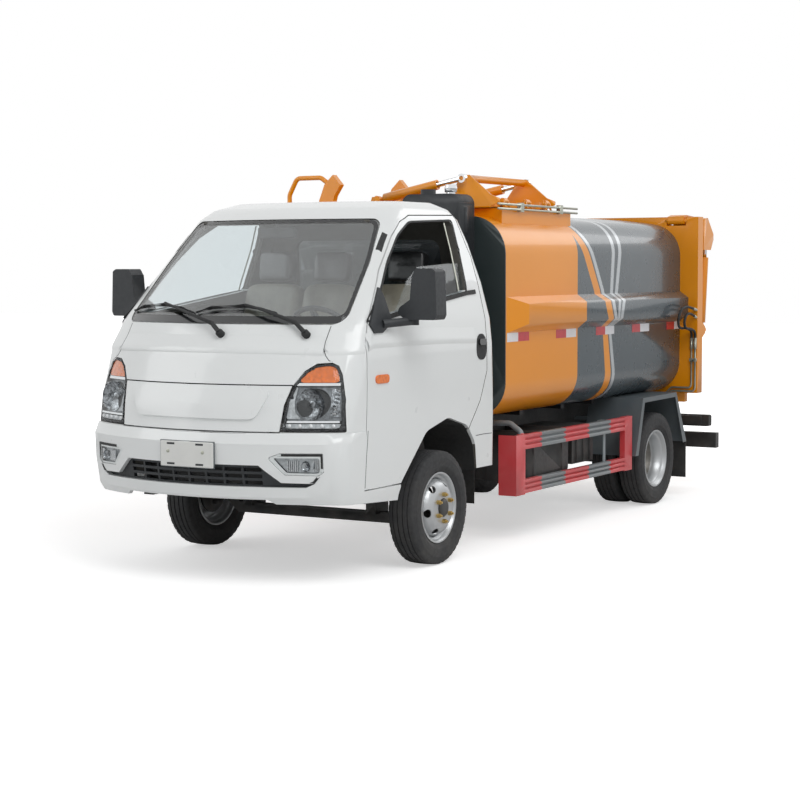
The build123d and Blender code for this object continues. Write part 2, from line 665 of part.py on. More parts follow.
def cab_parts():
    """Everything cut from the cab's outer form: shell, doors, glass, lid and headlamps."""
    outer = cab_solid()
    inner = cab_solid(CAB_WALL, CAB_BOTTOM - 1)
    rebate = cab_solid(15.0, CAB_BOTTOM - 1)
    shell = outer - inner
    shell = shell - block((-900, 900), (-1400, DOOR_FRONT_Y - DOOR_GAP), (0, BUMPER_TOP + SEAT_GAP))
    shell = shell - block((-700, 700), (300, 800), (0, 826))
    arches = arch_cut()
    shell = shell - arches
    opening = side_prism(grown(DOOR_OUTLINE, DOOR_GAP))
    wide_opening = side_prism(grown(DOOR_OUTLINE, DOOR_REBATE)) & rebate
    door = (shell & side_prism(DOOR_OUTLINE)) - side_prism(DOOR_WINDOW, DOOR_WINDOW_BEND)
    glass_shell = cab_solid(16.0) - cab_solid(21.0, CAB_BOTTOM - 1)
    door_glass = glass_shell & side_prism(DOOR_WINDOW, DOOR_WINDOW_BEND)
    for cut in (opening, wide_opening):
        shell = shell - cut
        shell = shell - flip(cut)

    lid_skin = (outer - cab_solid(LID_SKIN)) & front_prism(lid_outline(), LID_CORNER)
    lid_low = BUMPER_TOP + 30
    lid_high = LID_TOP_Z - 34
    lid_frame = [(x * 0.93, min(max(z, lid_low), lid_high)) for x, z in lid_outline()]
    lid_back = (cab_solid(LID_SKIN - 1) - cab_solid(LID_FRAME_DEPTH, CAB_BOTTOM - 1)) & front_prism(lid_frame, 20.0)
    lid = lid_skin + lid_back
    shell = shell - front_prism(lid_outline(DOOR_GAP), LID_CORNER)
    lamp = (outer - inner) & front_prism(LAMP_OUTLINE, 8.0, LAMP_REAR_Y)
    lamp_hole = front_prism(grown(LAMP_OUTLINE, LAMP_GAP), 8.0, LAMP_REAR_Y + LAMP_GAP)
    shell = shell - lamp_hole - flip(lamp_hole)

    screen_hole = prism(SCREEN_OUTLINE, "y", -1400, 0, SCREEN_BEND)
    screen = (cab_solid(GLASS_INSET) - cab_solid(10.0, CAB_BOTTOM - 1)) & screen_hole
    rear_hole = prism(REAR_WINDOW_OUTLINE, "y", 400, 800, 60.0)
    rear_glass = (cab_solid(10.0) - cab_solid(16.0, CAB_BOTTOM - 1)) & rear_hole
    shell = shell - screen_hole - rear_hole
    front_panel = block((-430, 430), (-1100, -1085), (660, BUMPER_TOP + 30))
    return {
        "shell": shell, "door": door, "door_glass": door_glass, "lid": lid, "lamp": lamp,
        "screen": screen, "rear_glass": rear_glass, "inner": cab_solid(CAB_WALL + SEAT_GAP, CAB_BOTTOM - 1),
        "front_panel": front_panel,
    }


def front_bumper():
    """Deep moulded bumper with the grille and fog lamp openings, wrapped round to the doors."""
    bumper = bumper_solid() - bumper_solid(BUMPER_WALL)
    bumper = bumper - (bumper_solid(BUMPER_LEDGE) + block((-440, 440), (-1110, -700), (700, 900)))
    bumper = bumper - block((-900, 900), (BUMPER_END_Y, 100), (CAB_BOTTOM - 6, 900))
    bumper = bumper - block((-900, 900), (BUMPER_TAIL_Y, 100), (300, 900))
    bumper = bumper - arch_cut()
    bumper = bumper - front_prism(GRILLE_OUTLINE)
    fog = front_prism(grown(FOG_OUTLINE, 1.0), 10.0)
    bumper = bumper - fog - flip(fog)
    arch = prism(((-560, 380), (560, 380), (440, 458), (-440, 458)), "y", -1400, -1000)
    slope = prism(((-1300, 440), (-900, 428), (BUMPER_TAIL_Y, 401), (BUMPER_TAIL_Y, 380), (-1300, 380)),
                  "x", -900, 900)
    return [bumper - arch - slope]


FOG_OUTLINE = ((462.0, 676.0), (541.0, 590.0), (697.0, 586.0), (722.0, 604.0), (722.0, 700.0), (524.0, 700.0))
GRILLE_OUTLINE = (
    (-415.0, 637.0), (415.0, 637.0), (522.0, 549.0), (679.0, 545.0), (636.0, 524.0),
    (-636.0, 524.0), (-679.0, 545.0), (-522.0, 549.0),
)


def fog_lamps():
    shell = bumper_solid(3.0) - bumper_solid(BUMPER_WALL)
    return pair(shell & front_prism(FOG_OUTLINE, 10.0))


def lower_grille():
    """Black insert behind the bumper's opening, with two bars."""
    shell = bumper_solid(BUMPER_WALL + SEAT_GAP) - bumper_solid(BUMPER_WALL + 24)
    frame = shell & front_prism(((-700, 514), (700, 514), (700, 556), (530, 560), (430, 650), (-430, 650),
                                 (-530, 560), (-700, 556)))
    slots = []
    for low in (534.0, 568.0, 602.0):
        for step in range(-4, 4):
            x = 105.0 * step + 6
            slots.append(front_prism(((x, low), (x + 93, low), (x + 93, low + 20), (x, low + 20))))
    return [frame - slots]


def cab_floor(inner):
    """Foot well, raised seat platform and its riser, fitted to the cab's inside."""
    low = RAIL_TOP + 6
    well = block((-900, 900), (-1085 + SEAT_GAP, -430), (low, low + 24))
    riser = block((-900, 900), (-460, -430), (low, 850))
    platform = block((-900, 900), (-460, 720), (826, 850))
    floor = joined([well, riser, platform]) & inner
    floor = floor - arch_cut()
    pads = pair(block((RAIL_X - 55, RAIL_X - 5), (-900, -840), (RAIL_TOP + SEAT_GAP, low - SEAT_GAP)))
    return [floor] + pads


def dashboard(inner):
    outline = ((-1010, 1338), (-720, 1330), (-640, 1270), (-655, 1060), (-790, 950), (-925, 950), (-925, 1190),
               (-1010, 1215))
    column = steering_column(STEER_COLUMN_RADIUS + 2)
    return [(prism(outline, "x", -740, 740) & inner) - column]


def seats():
    """Driver's seat and the wider seat beside it: cushions, backs and head rests, kept plain."""
    shapes = []
    seat = 1010 + SEAT_GAP
    # columns: x of the middle, half width
    for x, half in ((400.0, 240.0), (-110.0, 175.0), (-500.0, 200.0)):
        cushion = block((x - half, x + half), (-210, 300), (850 + SEAT_GAP, 1010))
        back = prism(((180, seat), (310, seat), (420, 1540), (320, 1555)), "x", x - half, x + half)
        shapes.append(fillet(cushion.edges().filter_by(Axis.X), 40))
        shapes.append(back)
        head = prism(((330, 1553.85), (418, 1540.65), (445, 1730), (350, 1740)), "x", x - 120, x + 120)
        shapes.append(head)
    return shapes


STEER_COLUMN_RADIUS = 32.0


def steering_column(radius):
    return Pos(400, -500, 1280) * Rot(-50, 0, 0) * (Pos(0, 0, -110) * Cylinder(radius, 200))


def steering_wheel():
    """Rim, hub and column, leaning back from the dashboard."""
    rim = Torus(190, 14)
    spokes = [Rot(0, 0, turn) * Pos(95, 0, -12) * Box(190, 34, 12) for turn in (30.0, 150.0, 270.0)]
    hub = Pos(0, 0, -20) * Cylinder(55, 40)
    wheel = joined([rim] + spokes + [hub])
    return [Pos(400, -500, 1280) * Rot(-50, 0, 0) * wheel + steering_column(STEER_COLUMN_RADIUS)]


def liners():
    """Curved inner guards over the front wheels, each with a flap behind its wheel."""
    outside = prism(grown(ARCH_OUTLINE, -SEAT_GAP), "x", ARCH_INNER_X + SEAT_GAP, 790, ARCH_BEND)
    inside = prism(grown(ARCH_OUTLINE, -LINER_THICK), "x", ARCH_INNER_X - 5, 800, ARCH_BEND)
    keep = block((400, 800), (-500, 600), (496, 900)) + block((400, 800), (400, 600), (478, 900))
    left = (outside - inside) & keep
    rear = ARCH_OUTLINE[-1][0] - SEAT_GAP
    flap = block((560, 786), (rear - LINER_THICK + SEAT_GAP, rear), (285, 484))
    return pair(left + flap)


def mirror_unit():
    """Door mirror: black foot on the door, arm and a deep head with a slanted inner side."""
    foot = prism(((-690, 1300), (-610, 1300), (-500, 1352), (-560, 1600), (-640, 1500), (-728, 1372)), "x", 700, 845)
    keep = cab_solid(-12.0) - cab_solid(-SEAT_GAP, CAB_BOTTOM - 1)
    foot = foot & keep & side_prism(grown(DOOR_OUTLINE, -2.0))
    arm = rod((815, -600, 1345), (900, -440, 1358), 22.0)
    post = cyl("z", 1336, 1380, (900, -425), 30.0)
    head = prism(((833, 1400), (880, 1365), (1058, 1365), (1070, 1390), (1062, 1620), (1040, 1633), (945, 1633),
                  (925, 1600)), "y", -480, -372, 14.0)
    return (joined([foot, arm, post, head])) - cab_solid(-SEAT_GAP)


def screen_face(x, z):
    """The point of the windscreen's outer face at an x and a height."""
    radius = CAB_ARC_RADIUS
    return Vector(x, cab_size(z)[0] + radius - math.sqrt(radius ** 2 - x ** 2) + GLASS_INSET, z)


def off_screen(x, z, out):
    """A point that stands off the windscreen's outer face by a distance."""
    here = screen_face(x, z)
    normal = (screen_face(x + 1, z) - here).cross(screen_face(x, z + 1) - here).normalized()
    return here + normal * out


def wipers():
    """Two spindles, their arms and blades, lying on the lower part of the windscreen."""
    shapes = []
    arm_radius = 6.5
    spindle_top = 34.0
    # columns: pivot, bend of the arm, outer and inner end of the blade, each as x and z
    rows = (((71, 1295), (-340, 1446), (-620, 1398), (-150, 1390)),
            ((538, 1289), (165, 1450), (-126, 1405), (344, 1384)))
    for pivot, bend, outer, inner in rows:
        shapes.append(rod(off_screen(*pivot, GLASS_INSET), off_screen(*pivot, spindle_top), 13.0))
        steps = [(outer[0] + (inner[0] - outer[0]) * share, outer[1] + (inner[1] - outer[1]) * share)
                 for share in (0.0, 0.25, 0.5, 0.75, 1.0)]
        shapes.append(pipe([off_screen(x, z, BLADE_RADIUS + 2) for x, z in steps], BLADE_RADIUS, 300.0))
        start = off_screen(*pivot, spindle_top + 4 * SEAT_GAP + arm_radius)
        end = off_screen(*steps[2], 2 * BLADE_RADIUS + 2 + arm_radius)
        shapes.append(pipe([start, off_screen(*bend, 46), end], arm_radius, 30.0))
    return shapes


def gooseneck_arms():
    """Lid hinge arms, bent round the panel's lower edge, and the pin through them."""
    y = LID_HINGE_Y
    z = LID_HINGE_Z
    outline = ((y - 10, z - 8), (y + 6, z + 10), (y + 84, z - 20), (y + 90, z - 150), (y - 20, z - 192),
               (y - 109, z - 192), (y - 109, z - 162), (y - 30, z - 168), (y + 62, z - 128), (y + 58, z - 40))
    arms = []
    for side in (-1, 1):
        x = side * LID_ARM_X
        arm = prism(outline, "x", x - 4, x + 4) + cyl("x", x - 4, x + 4, (y, z), 12.0)
        arms.append(arm - cyl("x", x - 5, x + 5, (y, z), 6.0 + SEAT_GAP))
    return joined(arms)


def lid_brackets():
    """Ears and pins on the cab's inner face for the lid's gooseneck arms."""
    shapes = []
    y = LID_HINGE_Y
    z = LID_HINGE_Z
    for side in (-1, 1):
        x = side * LID_ARM_X
        for low, high in ((x - 14, x - 9), (x + 9, x + 14)):
            shapes.append(block((low, high), (y - 45, y + 10), (z - 12, z + 12)))
        shapes.append(cyl("x", x - 14, x + 14, (y, z), 6.0))
    return shapes


# Refuse body

def body_wire(y, inset=0.0):
    """Closed section: flat floor, round lower corners, upright sides and a crowned roof."""
    half = BODY_HALF - inset
    bottom = BODY_BOTTOM + inset
    low = BODY_LOW_RADIUS - inset
    high = BODY_HIGH_RADIUS - inset
    crown = BODY_CROWN - inset
    centre_z = BODY_TOP - BODY_CROWN
    corner_z = centre_z + math.sqrt((crown - high) ** 2 - (half - high) ** 2)
    reach = crown / (crown - high)
    meet = ((half - high) * reach, centre_z + (corner_z - centre_z) * reach)
    angle = math.atan2(meet[1] - corner_z, meet[0] - half + high) / 2
    bend = (half - high + high * math.cos(angle), corner_z + high * math.sin(angle))
    dip = low * (1 - math.sqrt(0.5))
    edges = [
        Line((low - half, y, bottom), (half - low, y, bottom)),
        ThreePointArc((half - low, y, bottom), (half - dip, y, bottom + dip), (half, y, bottom + low)),
        Line((half, y, bottom + low), (half, y, corner_z)),
        ThreePointArc((half, y, corner_z), (bend[0], y, bend[1]), (meet[0], y, meet[1])),
        ThreePointArc((meet[0], y, meet[1]), (0, y, BODY_TOP - inset), (-meet[0], y, meet[1])),
        ThreePointArc((-meet[0], y, meet[1]), (-bend[0], y, bend[1]), (-half, y, corner_z)),
        Line((-half, y, corner_z), (-half, y, bottom + low)),
        ThreePointArc((-half, y, bottom + low), (dip - half, y, bottom + dip), (low - half, y, bottom)),
    ]
    return Wire([edge.edge() for edge in edges])


def body_solid(inset, start, end):
    return Solid.extrude(Face(body_wire(start, inset)), Vector(0, end - start, 0))


def bay_space(grow=0.0):
    """The space cut out of the body's right side for the lifter."""
    return block((-BODY_HALF - 300, BAY_X + grow), (BAY_FRONT_Y - grow, BAY_REAR_Y + grow),
                 (BAY_BOTTOM - grow, BODY_TOP + 400))


def body_panels():
    """Side, roof and floor sheets of the refuse body."""
    shell = body_solid(0, BODY_FRONT_Y, BODY_REAR_Y) - body_solid(PLATE, BODY_FRONT_Y - 1, BODY_REAR_Y + 1)
    shell = shell - bay_space(PLATE)
    mouth = block((BAY_X, COAMING_LEFT_X - 30), (COAMING_FRONT_Y + 8, DECK_FRONT_Y), (1800, 2100))
    shell = shell - mouth
    left = shell & block((BODY_SPLIT_X, 900), (800, 3700), (700, 2100))
    right = shell & block((-900, -BODY_SPLIT_X), (800, 3700), (700, 2100))
    middle = shell & block((-BODY_SPLIT_X, BODY_SPLIT_X), (800, 3700), (700, 2100))
    floor = middle & block((-600, 600), (800, 3700), (700, 1300))
    upper = middle & block((-600, 600), (800, 3700), (1300, 2100))
    edge = COAMING_FRONT_Y + 8
    roof = [upper & block((-600, 600), (800, edge), (1300, 2100)),
            upper & block((-600, 600), (edge, 3700), (1300, 2100))]
    return left, right, roof, floor


def front_plate():
    return [body_solid(0, BODY_FRONT_Y - 10, BODY_FRONT_Y - SEAT_GAP)]


def side_rails():
    """Hollow trapezoid beam along each side, tapered at its front end."""
    out = BODY_HALF + 65
    skin = BODY_HALF + SEAT_GAP
    section = ((skin, 1248), (out, 1300), (out, 1418), (skin, 1463))
    beam = prism(section, "y", 919, BODY_REAR_Y - SEAT_GAP)
    taper = prism(((skin - 1, 900), (skin, 919), (out, 1086), (out + 20, 1086), (out + 20, 900)), "z", 1200, 1500)
    left = beam - taper
    right = flip(left) - bay_space(PLATE + 20)
    return [left, right]


def hopper_coaming():
    """Upright rim round the hopper's mouth with a fixed deck behind it, welded up from sheets."""
    outer = block((BAY_X, COAMING_LEFT_X), (COAMING_FRONT_Y, COAMING_REAR_Y), (1700, COAMING_TOP))
    hollow = block((BAY_X - 1, COAMING_LEFT_X - PLATE), (COAMING_FRONT_Y + PLATE, DECK_FRONT_Y), (1600, 2100))
    under = block((BAY_X - 1, COAMING_LEFT_X - PLATE), (DECK_FRONT_Y + PLATE, COAMING_REAR_Y - PLATE),
                  (1600, COAMING_TOP - PLATE))
    rim = outer - hollow - under
    rim = rim - body_solid(-SEAT_GAP, 800, 2500)
    front = rim & block((BAY_X, COAMING_LEFT_X), (COAMING_FRONT_Y, COAMING_FRONT_Y + PLATE), (1600, 2100))
    side = rim & block((600, COAMING_LEFT_X), (COAMING_FRONT_Y + PLATE, DECK_FRONT_Y), (1600, 2100))
    deck = rim & block((BAY_X, COAMING_LEFT_X), (DECK_FRONT_Y, COAMING_REAR_Y), (1600, 2100))
    strip = block((LID_HINGE[0] + 22, COAMING_LEFT_X - PLATE), (COAMING_FRONT_Y + PLATE, DECK_FRONT_Y),
                  (COAMING_TOP - PLATE, COAMING_TOP))
    outline = ((640, 2019), (624, 2035), (640, 2052), (656, 2040), (670, COAMING_TOP), (662, COAMING_TOP))
    ears = [prism(outline, "y", low, low + 8) for y in LID_HINGE_PLACES for low in (y - 34, y + 26)]
    return [front, side, deck, strip] + ears


def lifter_bay():
    """Sheet walls of the recess in the right side, up to the hopper's rim."""
    inner_wall = block((BAY_X, BAY_X + PLATE), (BAY_FRONT_Y - PLATE, BAY_REAR_Y + PLATE), (BAY_BOTTOM, 1920))
    top = block((BAY_X, BAY_X + PLATE), (COAMING_FRONT_Y + PLATE + SEAT_GAP, BAY_REAR_Y + PLATE),
                (1900, COAMING_TOP - 1))
    ends = [block((-BODY_HALF, BAY_X), (low, low + PLATE), (BAY_BOTTOM - PLATE, 1990))
            for low in (BAY_FRONT_Y - PLATE, BAY_REAR_Y)]
    base = block((-BODY_HALF, BAY_X + PLATE), (BAY_FRONT_Y - PLATE, BAY_REAR_Y + PLATE),
                 (BAY_BOTTOM - PLATE, BAY_BOTTOM))
    inside = joined([inner_wall, base] + ends) & body_solid(0, 900, 3000)
    return [inside]


def lifter_rails():
    """Two channels up the recess, curved inwards over the hopper, with the guard hoop."""
    outer_x = LIFT_RAIL_OUTER_X
    inner_x = outer_x + LIFT_RAIL_WIDTH
    outline = ((outer_x, BAY_BOTTOM + 40), (inner_x, BAY_BOTTOM + 40), (inner_x, 2060), (-527, 2088),
               (-482, 2156), (-538, 2220), (-600, 2160), (outer_x, 2060))
    shapes = []
    for wall, groove in ((BAY_FRONT_Y + SEAT_GAP, 1), (BAY_REAR_Y - SEAT_GAP, -1)):
        low, high = sorted((wall, wall + groove * LIFT_RAIL_THICK))
        rail = prism(outline, "y", low, high)
        deep = sorted((wall + groove * 14, wall + groove * (LIFT_RAIL_THICK + 1)))
        slot = block((outer_x + LIFT_GROOVE_EDGE, inner_x - LIFT_GROOVE_EDGE), deep, (BAY_BOTTOM + 60, 2040))
        shapes.append(rail - slot)
    y = BAY_FRONT_Y + SEAT_GAP + 23
    hoop = pipe(((-560, y, 2150), (-640, y, 2205), (-820, y, 2205), (-878, y, 2100), (-878, y, 1500)), 15.0, 45.0)
    return shapes + [hoop - shapes[0]]


def bin_carriage():
    """Frame that runs in the rails on rollers and carries the comb for a bin's rim."""
    front = BAY_FRONT_Y + SEAT_GAP + LIFT_RAIL_THICK + RUN_GAP
    rear = BAY_REAR_Y - SEAT_GAP - LIFT_RAIL_THICK - RUN_GAP
    middle = LIFT_RAIL_OUTER_X + LIFT_RAIL_WIDTH / 2
    bars = [block((middle - 20, middle + 20), (front, rear), (z, z + 50)) for z in (900.0, 1180.0)]
    posts = [block((middle - 20, middle + 20), (y, y + 50), (900, 1230)) for y in (front, rear - 50)]
    teeth = []
    for step in range(7):
        y = front + 110 + step * 85
        teeth.append(prism(((middle - 20, 1210), (middle - 90, 1250), (middle - 90, 1225), (middle - 20, 1180)),
                           "y", y - 14, y + 14))
    rollers = []
    for z in (925.0, 1205.0):
        rollers.append(cyl("y", front - 28, front + 1, (middle, z), ROLLER_RADIUS))
        rollers.append(cyl("y", rear - 1, rear + 28, (middle, z), ROLLER_RADIUS))
    return [joined(bars + posts + teeth + rollers)]


def rear_frame():
    """Heavy square frame round the body's rear end, notched for the tailgate's hinges."""
    frame = block((-FRAME_HALF, FRAME_HALF), (BODY_REAR_Y, FRAME_REAR_Y), (FRAME_LOW, FRAME_TOP))
    frame = frame - body_solid(PLATE, BODY_REAR_Y - 5, FRAME_REAR_Y + 5)
    hinge_y, hinge_z = TAIL_HINGE
    notch = block((660, 806), (BODY_REAR_Y - 10, FRAME_REAR_Y + 10), (hinge_z - 36, FRAME_TOP + 10))
    frame = frame - pair(notch)
    sill = block((-800, 800), (3640, 3700), (670, FRAME_LOW))
    pins = pair(cyl("x", 650, 816, TAIL_HINGE, 14.0))
    cheeks = pair(block((650, 660), (BODY_REAR_Y, FRAME_REAR_Y), (hinge_z - 36, FRAME_TOP)))
    base_y, base_z = TAIL_CYLINDER_BASE
    lugs = []
    for x in (TAIL_CYLINDER_X - 32, TAIL_CYLINDER_X + 22):
        lug = prism(((FRAME_REAR_Y - 10, base_z - 60), (base_y, base_z - 28), (base_y + 28, base_z),
                     (base_y, base_z + 28), (FRAME_REAR_Y - 10, base_z + 60)), "x", x, x + 10)
        lugs += pair(lug)
    lug_pins = pair(cyl("x", TAIL_CYLINDER_X - 30, TAIL_CYLINDER_X + 30, (base_y, base_z), 14.0))
    return [joined([frame, sill] + pins + cheeks + lugs + lug_pins)]


def tailgate():
    """Domed rear door hung from its top, with hinge arms and the ears for its cylinders."""
    y = TAIL_FRONT_Y
    panel_half = 820.0
    low = 748.0
    high = 1935.0
    flange = block((-panel_half, panel_half), (y, y + 95), (low, high))
    flange = flange - block((-700, 700), (y - 1, y + 60), (low + 90, high - 90))
    bulge = loft([Plane.XZ.offset(-(y + 95)) * Pos(0, (low + high) / 2) * RectangleRounded(1400, 1040, 120),
                  Plane.XZ.offset(-(y + 255)) * Pos(0, (low + high) / 2) * RectangleRounded(1100, 760, 90)])
    hollow = loft([Plane.XZ.offset(-(y + 59)) * Pos(0, (low + high) / 2) * RectangleRounded(1380, 1020, 110),
                   Plane.XZ.offset(-(y + 247)) * Pos(0, (low + high) / 2) * RectangleRounded(1090, 750, 85)])
    door = (flange + bulge) - hollow
    hinge_y, hinge_z = TAIL_HINGE
    arms = []
    arm = prism(((hinge_y - 26, hinge_z - 8), (hinge_y - 26, hinge_z + 26), (hinge_y + 30, hinge_z + 40),
                 (y + 90, hinge_z + 30), (y + 95, high - 60), (y, high - 60), (y, hinge_z - 30)), "x", 672, 794)
    barrel = cyl("x", 672, 794, TAIL_HINGE, 28.0)
    arm = (arm + barrel) - cyl("x", 600, 900, TAIL_HINGE, 14.0 + SEAT_GAP)
    arms += pair(arm)
    outline = ((y + 5, 1975), (y + 80, 1985), (3930, 1870), (3930, 1830), (3880, 1756), (y + 5, 1756))
    eye_gap = block((TAIL_CYLINDER_X - 19 - RUN_GAP, TAIL_CYLINDER_X + 19 + RUN_GAP), (y - 5, 3935), (1740, 1880))
    arms += pair(prism(outline, "x", 790, FRAME_HALF) - eye_gap)
    return [joined([door] + arms)]


def cylinder_frame(base, eye):
    """Length and unit direction from a cylinder's base pin to its rod eye."""
    along = (eye[0] - base[0], eye[1] - base[1])
    length = math.hypot(*along)
    return length, (along[0] / length, along[1] / length)


def cylinder(axis, offset, base, eye, barrel, sizes):
    """Barrel and rod of one cylinder across an axis. sizes: barrel, rod and eye radius, eye half width."""
    radius, rod_radius, eye_radius, half = sizes
    length, way = cylinder_frame(base, eye)

    def at(distance):
        point = (base[0] + way[0] * distance, base[1] + way[1] * distance)
        return spot(axis, offset, point)

    start = eye_radius + 26
    tube_part = rod(at(start), at(barrel), radius) - rod(at(start + 12), at(barrel + 1), rod_radius + 1)
    neck = rod(at(eye_radius - 6), at(start + 1), half)
    lug = cyl(axis, offset - half, offset + half, base, eye_radius) + neck
    bore = cyl(axis, offset - half - 1, offset + half + 1, base, 14.0 + SEAT_GAP)
    barrel_part = (tube_part + lug) - bore
    rod_part = rod(at(start + 18), at(length - eye_radius + 6), rod_radius)
    head = cyl(axis, offset - half, offset + half, eye, eye_radius)
    rod_part = (rod_part + head) - cyl(axis, offset - half - 1, offset + half + 1, eye, 14.0)
    return barrel_part, rod_part


LID_BARREL = 430.0
TAIL_BARREL = 520.0
LID_SIZES = (30.0, 17.0, 27.0, 15.0)
TAIL_SIZES = (30.0, 17.0, 27.0, 18.0)


def hopper_lid():
    """Ribbed lid plate, its hinge knuckles, the two cranks and the tube between them."""
    hinge_x, hinge_z = LID_HINGE
    low = COAMING_TOP + RUN_GAP
    plate = block((BAY_X + 6, hinge_x - 30), (1004, 1786), (low, low + 6))
    ribs = [block((BAY_X + 10, hinge_x - 40), (y - 20, y + 20), (low + 6, low + 32)) for y in (1090.0, 1395.0, 1700.0)]
    ribs += [block((x - 20, x + 20), (1010, 1780), (low + 6, low + 26)) for x in (-440.0, 60.0)]
    knuckles = []
    for y in LID_HINGE_PLACES:
        knuckle_part = cyl("y", y - 21, y + 21, LID_HINGE, 18.0) - cyl("y", y - 40, y + 40, LID_HINGE, 9.0)
        link = block((hinge_x - 60, hinge_x - 14), (y - 21, y + 21), (low + 4, hinge_z + 8))
        knuckles.append(knuckle_part + link)
    cranks = []
    for y in CRANK_Y:
        outline = ((CRANK_EYE[0] - 26, CRANK_EYE[1] + 18), (CRANK_EYE[0] + 22, CRANK_EYE[1] + 22),
                   (hinge_x - 30, hinge_z + 36), (hinge_x + 26, hinge_z + 14), (hinge_x + 26, hinge_z - 8),
                   (hinge_x - 40, low + 4), (180, low + 4), (300, low + 40))
        cranks.append(prism(outline, "y", y - 6, y + 6))
    bar = cyl("y", CRANK_Y[0], CRANK_Y[1], CRANK_EYE, 22.5)
    return [joined([plate] + ribs + knuckles + cranks + [bar])]


def lid_pins():
    """Hinge pins of the hopper lid, held in the fixed ears."""
    return [cyl("y", y - 36, y + 36, LID_HINGE, 8.6) for y in LID_HINGE_PLACES]


def lid_bases():
    """Clevis brackets for the base ends of the lid's cylinders."""
    shapes = []
    x, z = LID_CYLINDER_BASE
    for y, floor in ((LID_CYLINDER_Y[0], body_solid(-SEAT_GAP, 800, 2500)),
                     (LID_CYLINDER_Y[1], block((-600, 600), (1700, 2100), (1800, COAMING_TOP + SEAT_GAP)))):
        ears = []
        for low in (y - 30, y + 20):
            ears.append(prism(((x - 70, 1940), (x + 50, 1940), (x + 24, z + 20), (x - 24, z + 20)), "y", low, low + 10))
        foot = block((x - 80, x + 60), (y - 31, y + 31), (1940, COAMING_TOP + 12))
        pin = cyl("y", y - 30, y + 30, LID_CYLINDER_BASE, 14.0)
        shapes.append((joined(ears + [foot, pin])) - floor)
    return shapes


def hydraulic_tank():
    """Tall narrow oil tank behind the cab, with its level gauge."""
    tank = block((175, 560), (700, BODY_FRONT_Y - 10 - SEAT_GAP), (1180, 2070))
    tank = fillet(tank.edges().filter_by(Axis.Y), 60)
    gauge = block((560, 572), (770, 800), (1840, 1990))
    cap = cyl("z", 2060, 2100, (300, 800), 45.0)
    return [joined([tank, gauge, cap])]


def hydraulic_pipes():
    """Steel pipes along the hopper's rim, and those on the rear frame with the fittings for their hoses."""
    along = []
    for z in (2014.0, 1986.0):
        x = COAMING_LEFT_X + 20
        along.append(rod((x, 950, z), (x, 2050, z - 5), PIPE_RADIUS))
    for y in (1257.0, 1806.0):
        along.append(block((COAMING_LEFT_X + SEAT_GAP, COAMING_LEFT_X + 30), (y - 18, y + 18), (1970, 2026)))
    down = []
    for x, low in zip(PIPE_X, PIPE_LOW):
        path = ((x, PIPE_Y, FITTING_LOW + 1), (x, PIPE_Y, low), (710, PIPE_Y, low), (610, PIPE_Y, low - 100),
                (RAIL_X + SEAT_GAP, PIPE_Y, low - 100))
        down.append(pipe(path, PIPE_RADIUS, 28.0))
        down.append(cyl("z", FITTING_LOW, FITTING_TOP, (x, PIPE_Y), FITTING_RADIUS))
    down.append(block((848, 898), (PIPE_Y - 10, BODY_REAR_Y - SEAT_GAP), (962, 984)))
    ports = []
    for hose in (UPPER_HOSE, LOWER_HOSE):
        start, after = Vector(*hose[0]), Vector(*hose[1])
        way = (start - after).normalized()
        reach = (BODY_REAR_Y - start.Y) / way.Y
        face = block((700, 1000), (BODY_REAR_Y - SEAT_GAP, 3800), (1100, 1500))
        ports.append(rod(start, start + way * (reach + 20), FITTING_RADIUS - 1) - face)
    return [joined(along), joined(down)] + ports


def hose(points):
    """A hose of even thickness whose bends are as large as its runs allow."""
    radii = []
    for before, here, after in zip(points, points[1:], points[2:]):
        one = Vector(*here) - Vector(*before)
        two = Vector(*after) - Vector(*here)
        turn = math.radians(one.get_angle(two))
        radii.append(0.45 * min(one.length, two.length) / math.tan(turn / 2))
    print("hose bend radii", [round(radius) for radius in radii])
    tube_part = pipe(points, HOSE_RADIUS, radii)
    return [tube_part]


def tow_eyes():
    """Towing lugs with upright pins' holes: one under the left rail's front, one on the rear cross member."""
    x, y = TOW_FRONT
    ring = block((x - 30, x + 30), (y - 30, y + 45), (TOW_FRONT_Z - 10, TOW_FRONT_Z + 10))
    web = block((x - 8, x + 8), (y + 32, y + 45), (TOW_FRONT_Z, RAIL_BOTTOM - SEAT_GAP))
    front = (ring + web) - cyl("z", TOW_FRONT_Z - 20, TOW_FRONT_Z + 20, TOW_FRONT, 14.0)
    x, y = TOW_REAR
    rear = block((x - 38, x + 38), (3690 + SEAT_GAP, y + 36), (TOW_REAR_Z - 10, TOW_REAR_Z + 10))
    return [front, rear - cyl("z", TOW_REAR_Z - 20, TOW_REAR_Z + 20, TOW_REAR, 18.0)]


